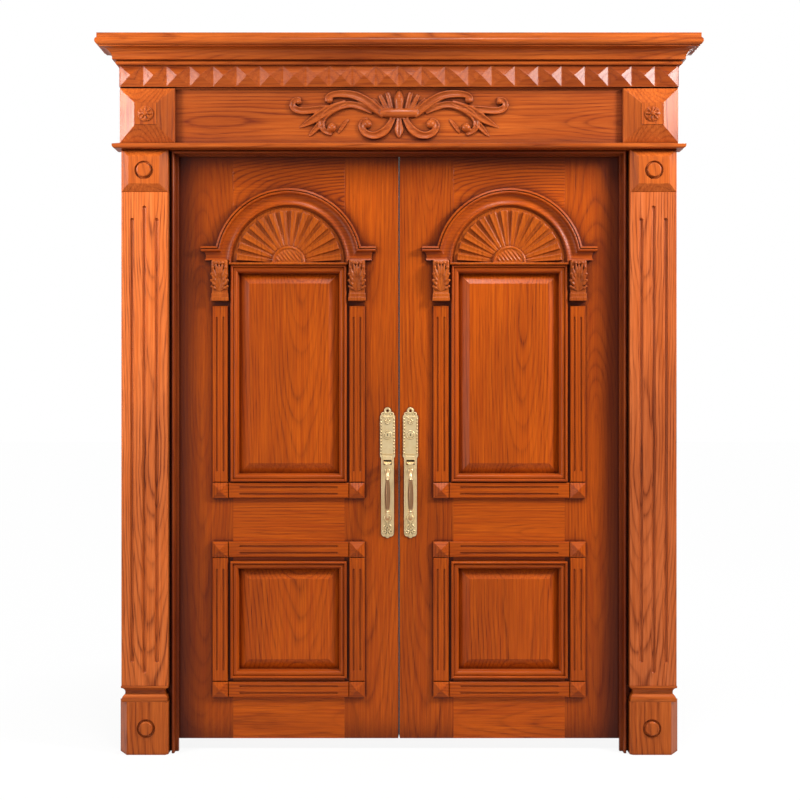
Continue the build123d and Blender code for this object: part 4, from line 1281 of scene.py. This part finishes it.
@dataclass
class Studio:
    """Floor, background, lamps and camera."""

    camera_place: Triple = (0.0034, -4.0445, 1.207)
    lens: float = 52.94
    ambient: float = 0.16
    mirrored: float = 0.32
    sensor: float = 36.0
    floor_size: float = 60.0
    casing_ends: tuple[str, ...] = ("pilaster", "plinth", "cap", "capital", "block")

    def build(self) -> None:
        """Builds the surroundings of the door."""
        self.ground()
        self.sky()
        self.lamp("right_lamp", (2.7, -1.45, 2.9), (0.1, 0.0, 1.2), 0.7, 112.0)
        self.lamp("left_lamp", (-2.3, -1.10, 2.3), (-0.3, 0.0, 1.3), 0.8, 20.0)
        self.lamp("casing_lamp", (-2.3, -1.00, 2.5), (-0.3, 0.0, 1.4), 0.5, 34.0, fixed_only=True)
        self.lamp("back_lamp", (1.6, 4.2, 3.2), (0.0, 0.1, 1.2), 2.0, 110.0)
        self.lamp("top_lamp", (0.2, -2.0, 4.6), (0.0, 0.0, 1.2), 0.9, 60.0)
        self.lamp("front_lamp", (-3.9, -5.2, 1.2), (0.0, 0.0, 1.2), 1.8, 58.0)
        self.camera()

    def ground(self) -> None:
        """Adds the floor."""
        deselect()
        bpy.ops.mesh.primitive_plane_add(size=self.floor_size, location=(0.0, 0.0, 0.0))
        floor = bpy.context.object
        floor.name = "floor"
        floor.data.materials.append(PaleFloor().material())
        log.info("laid the floor")

    def sky(self) -> None:
        """Makes the background white to the camera and a soft fill to the door."""
        world = bpy.data.worlds.new("studio")
        bpy.context.scene.world = world
        world.use_nodes = True
        nodes, links = world.node_tree.nodes, world.node_tree.links
        nodes.clear()
        path = nodes.new("ShaderNodeLightPath")
        clear = nodes.new("ShaderNodeMath")
        clear.operation = "MAXIMUM"
        links.new(path.outputs["Is Camera Ray"], clear.inputs[0])
        links.new(path.outputs["Is Transmission Ray"], clear.inputs[1])
        seen = nodes.new("ShaderNodeMath")
        seen.operation = "MULTIPLY_ADD"
        seen.use_clamp = True
        links.new(path.outputs["Is Glossy Ray"], seen.inputs[0])
        seen.inputs[1].default_value = self.mirrored
        links.new(clear.outputs[0], seen.inputs[2])
        strength = nodes.new("ShaderNodeMapRange")
        strength.inputs["To Min"].default_value = self.ambient
        strength.inputs["To Max"].default_value = 1.0
        links.new(seen.outputs[0], strength.inputs["Value"])
        background = nodes.new("ShaderNodeBackground")
        background.inputs["Color"].default_value = (1.0, 1.0, 1.0, 1.0)
        links.new(strength.outputs[0], background.inputs["Strength"])
        output = nodes.new("ShaderNodeOutputWorld")
        links.new(background.outputs[0], output.inputs["Surface"])

    def lamp(self, name: str, place: Triple, aim: Triple,
             size: float, power: float, fixed_only: bool = False) -> None:
        """Adds one soft box.

        Args:
            name: name of the lamp.
            place: where it stands.
            aim: the point that it faces.
            size: side of the soft box.
            power: power in watts.
            fixed_only: whether it lights the casing, the entablature and the floor alone.
        """
        deselect()
        bpy.ops.object.light_add(type="AREA", location=place)
        lamp = bpy.context.object
        lamp.name = name
        lamp.data.shape = "SQUARE"
        lamp.data.size = size
        lamp.data.energy = power
        if fixed_only:
            lit = bpy.data.collections.new(name + "_receivers")
            for piece in self.casing_pieces():
                lit.objects.link(piece)
            lamp.light_linking.receiver_collection = lit
        lamp.rotation_euler = (Vector(aim) - Vector(place)).to_track_quat("-Z", "Y").to_euler()

    def casing_pieces(self) -> list[Object]:
        """Meshes that the casing's own lamp lights.

        Returns:
            All that belongs to no leaf and isn't a jamb at the side.
        """
        meshes = [piece for piece in bpy.context.scene.objects if piece.type == "MESH"]
        return [piece for piece in meshes
                if not piece.name.startswith(("left_", "right_")) or piece.name.endswith(self.casing_ends)]

    def camera(self) -> None:
        """Adds the camera at the photograph's viewing angle."""
        deselect()
        bpy.ops.object.camera_add(location=self.camera_place, rotation=(math.pi / 2, 0.0, 0.0))
        camera = bpy.context.object
        camera.data.lens = self.lens
        camera.data.sensor_width = self.sensor
        bpy.context.scene.camera = camera
        bpy.context.scene.view_settings.view_transform = "Standard"


@dataclass
class Casing:
    """Jambs, pilasters, plinths and capitals round the doorway."""

    pilaster_x: float = 0.8655
    jamb_x: float = 0.76
    # painted light: the left pilaster is stained paler than the right one, for the stronger light on the left side
    left_pale: float = 0.80
    right_pale: float = 0.66

    def dress(self) -> None:
        """Gives every piece of the casing its own board."""
        for side in Side:
            x = side.value * self.pilaster_x
            word = side.word
            # painted light: each side's pilaster takes its own paleness
            lit_paleness = self.left_pale if side is Side.LEFT else self.right_pale
            boards = {
                # painted shade: the jamb is stained darker for the shade in the doorway's reveal
                "jamb": StainedBoard(word + "_jamb_wood", heart=(side.value * self.jamb_x, 0.09, 0.4), tone=0.50),
                "pilaster": StainedBoard(word + "_pilaster_wood", heart=(x - side.value * 0.03, 0.02, 1.0), lean=0.05,
                                         figure=0.75, ring=0.008, tone=-0.10, light=(lit_paleness, lit_paleness * 0.25, 0.045, 1.0),
                                         middle=(lit_paleness * 0.78, lit_paleness * 0.155, 0.016, 1.0)),
                "plinth": StainedBoard(word + "_plinth_wood", heart=(x + 0.05, 0.06, -0.6), tone=0.02),
                "plinth_cap": StainedBoard(word + "_plinth_cap_wood", GrainRun.LEVEL, (1.3, 0.05, 0.20)),
                "capital": StainedBoard(word + "_capital_wood", heart=(x + 0.02, 0.03, 1.4), tone=-0.02),
            }
            for node, wood in boards.items():
                paint(f"{word}_{node}", wood.material())
        # painted shade: the head jamb is stained darker for the shade under the head
        paint("head_jamb", StainedBoard("head_jamb_wood", GrainRun.LEVEL, (0.2, 0.08, 2.02), tone=0.45).material())


@dataclass
class Entablature:
    """Necking, frieze, band of pyramids and crown above the doorway."""

    frieze_z: float = 2.173
    block_x: float = 0.90

    def dress(self) -> None:
        """Gives every piece above the doorway its own board."""
        level = GrainRun.LEVEL
        boards = {
            "necking_moulding": StainedBoard("necking_wood", level, (0.4, 0.03, 2.06)),
            # painted shade: the hollows round the carving go nearly black
            "frieze_board": StainedBoard("frieze_wood", level, (-0.6, 0.03, self.frieze_z - 0.02), lean=0.03,
                                         figure=0.66, tone=0.16, recess=0.98, hollow_reach=0.036, hollow_end=0.94),
            "frieze_bosses": StainedBoard("boss_wood", heart=(0.8, 0.02, 2.2), ring=0.006),
            # painted shade in the hollows between the pyramids
            "pyramid_band": StainedBoard("band_wood", level, (0.7, 0.04, 2.28), ring=0.009, tone=0.26, recess=0.95,
                                         hollow_end=0.86),
            "crown_core": StainedBoard("crown_core_wood", level, (0.0, 0.06, 2.38)),
            "crown_moulding": StainedBoard("crown_wood", level, (-0.3, 0.05, 2.33), tone=0.10),
            "crown_top_board": StainedBoard("crown_board_wood", level, (0.5, 0.04, 2.45), tone=-0.05),
        }
        for node, wood in boards.items():
            paint(node, wood.material())
        Foliage().build()
        for side in Side:
            heart = (side.value * self.block_x, 0.05, 1.9)
            name = side.word + "_frieze_block"
            paint(name, StainedBoard(name + "_wood", heart=heart, ring=0.009, lean=0.06).material())


@dataclass
class Leaf:
    """One leaf of the door with its panels and ornament.

    The figures and leans are those of the boards that differ from a plain one, and the turns move
    the heart lines, so that the two leaves differ in grain.
    """

    side: Side
    panel_x: float = 0.380
    left_turn: float = 0.13
    right_turn: float = -0.21
    # depth of the painted shade on the stiles and the top rail, deep in the doorway
    reveal: float = 0.92
    plain_figure: float = 0.40
    plain_lean: float = 0.045
    figures: dict[str, float] = field(default_factory=lambda: {"panels": 0.42, "top_rail": 1.0})
    leans: dict[str, float] = field(default_factory=lambda: {
        "top_rail": 0.26, "hinge_stile": 0.11, "panels": 0.075, "meeting_stile": 0.05})
    light: Colour = (0.660, 0.120, 0.004, 1.0)
    middle: Colour = (0.480, 0.068, 0.002, 1.0)

    def build(self) -> None:
        """Dresses the leaf and adds its carved work."""
        self.dress()
        Sunburst(self.side).build()
        Corbels(self.side).build()

    def dress(self) -> None:
        """Gives every piece of the leaf its own board."""
        word = self.side.word
        x = self.side.value * self.panel_x
        turn = self.left_turn if self.side is Side.LEFT else self.right_turn
        level = GrainRun.LEVEL
        boards = {
            "hinge_stile": ((x + self.side.value * 0.30, 0.10, 0.3 + turn), GrainRun.UPRIGHT, 0.10),
            "meeting_stile": ((x - self.side.value * 0.27, 0.09, 0.9 + turn), GrainRun.UPRIGHT, 0.0),
            "top_rail": ((x + 0.10 + turn * 0.4, 0.050, 1.90), level, -0.16),
            "lock_rail": ((x - 0.8 - turn, 0.06, 0.75), level, -0.08),
            "bottom_rail": ((x + 0.9 + turn, 0.06, 0.11), level, -0.16),
            "panels": ((x + 0.05, 0.055, 1.7 + turn), GrainRun.UPRIGHT, -0.10),
            "panel_mouldings": ((x - 0.45, 0.05, 0.7), GrainRun.UPRIGHT, 0.0),
            "surrounds": ((x + 0.5, 0.05, 0.5), GrainRun.UPRIGHT, 0.0),
            "arch_moulding": ((x, 0.08, 1.45), level, 0.02),
        }
        for node, (heart, run, tone) in boards.items():
            name = f"{word}_{node}"
            mitred = x if node in ("panel_mouldings", "surrounds") else None
            figure = self.figures.get(node, self.plain_figure)
            lean = self.leans.get(node, self.plain_lean)
            # the stiles and the top rail take painted shade, deep in the doorway
            reveal = self.reveal if node in ("hinge_stile", "top_rail", "meeting_stile") else 0.0
            paint(name, StainedBoard(name + "_wood", run, heart, tone=tone, figure=figure, reveal=reveal, lean=lean,
                                     panel_x=mitred, light=self.light, middle=self.middle).material())


@dataclass
class Hardware:
    """Hinges, handle plates, grips, thumb pieces, levers and locks."""

    def dress(self) -> None:
        """Gives the hardware its metal."""
        cast = AgedBrass("cast_brass").material()
        # the grip's brass carries a painted reflection round its middle
        held = AgedBrass("grip_brass", sleeve=0.9).material()
        plain = AgedBrass("plain_brass", reach=0.003).material()
        paint("hinge_frame_halves", plain)
        for side in Side:
            HandleTrim(side).build(cast)
            paint(side.word + "_hinge_leaf_halves", plain)
            for node in ("handle_plate", "thumb_piece"):
                paint(f"{side.word}_{node}", cast)
            paint(f"{side.word}_grip", held)
            for node in ("inner_plate", "inner_lever", "lock_case"):
                paint(f"{side.word}_{node}", plain)
        for node in ("right_latch_bolt", "right_dead_bolt"):
            paint(node, plain)


def main() -> None:
    """Builds the looks in order."""
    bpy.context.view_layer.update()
    Casing().dress()
    Entablature().dress()
    for side in Side:
        Leaf(side).build()
    Hardware().dress()
    Studio().build()


if __name__ == "__main__":
    logging.basicConfig(level=logging.INFO)
    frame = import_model()
    main()
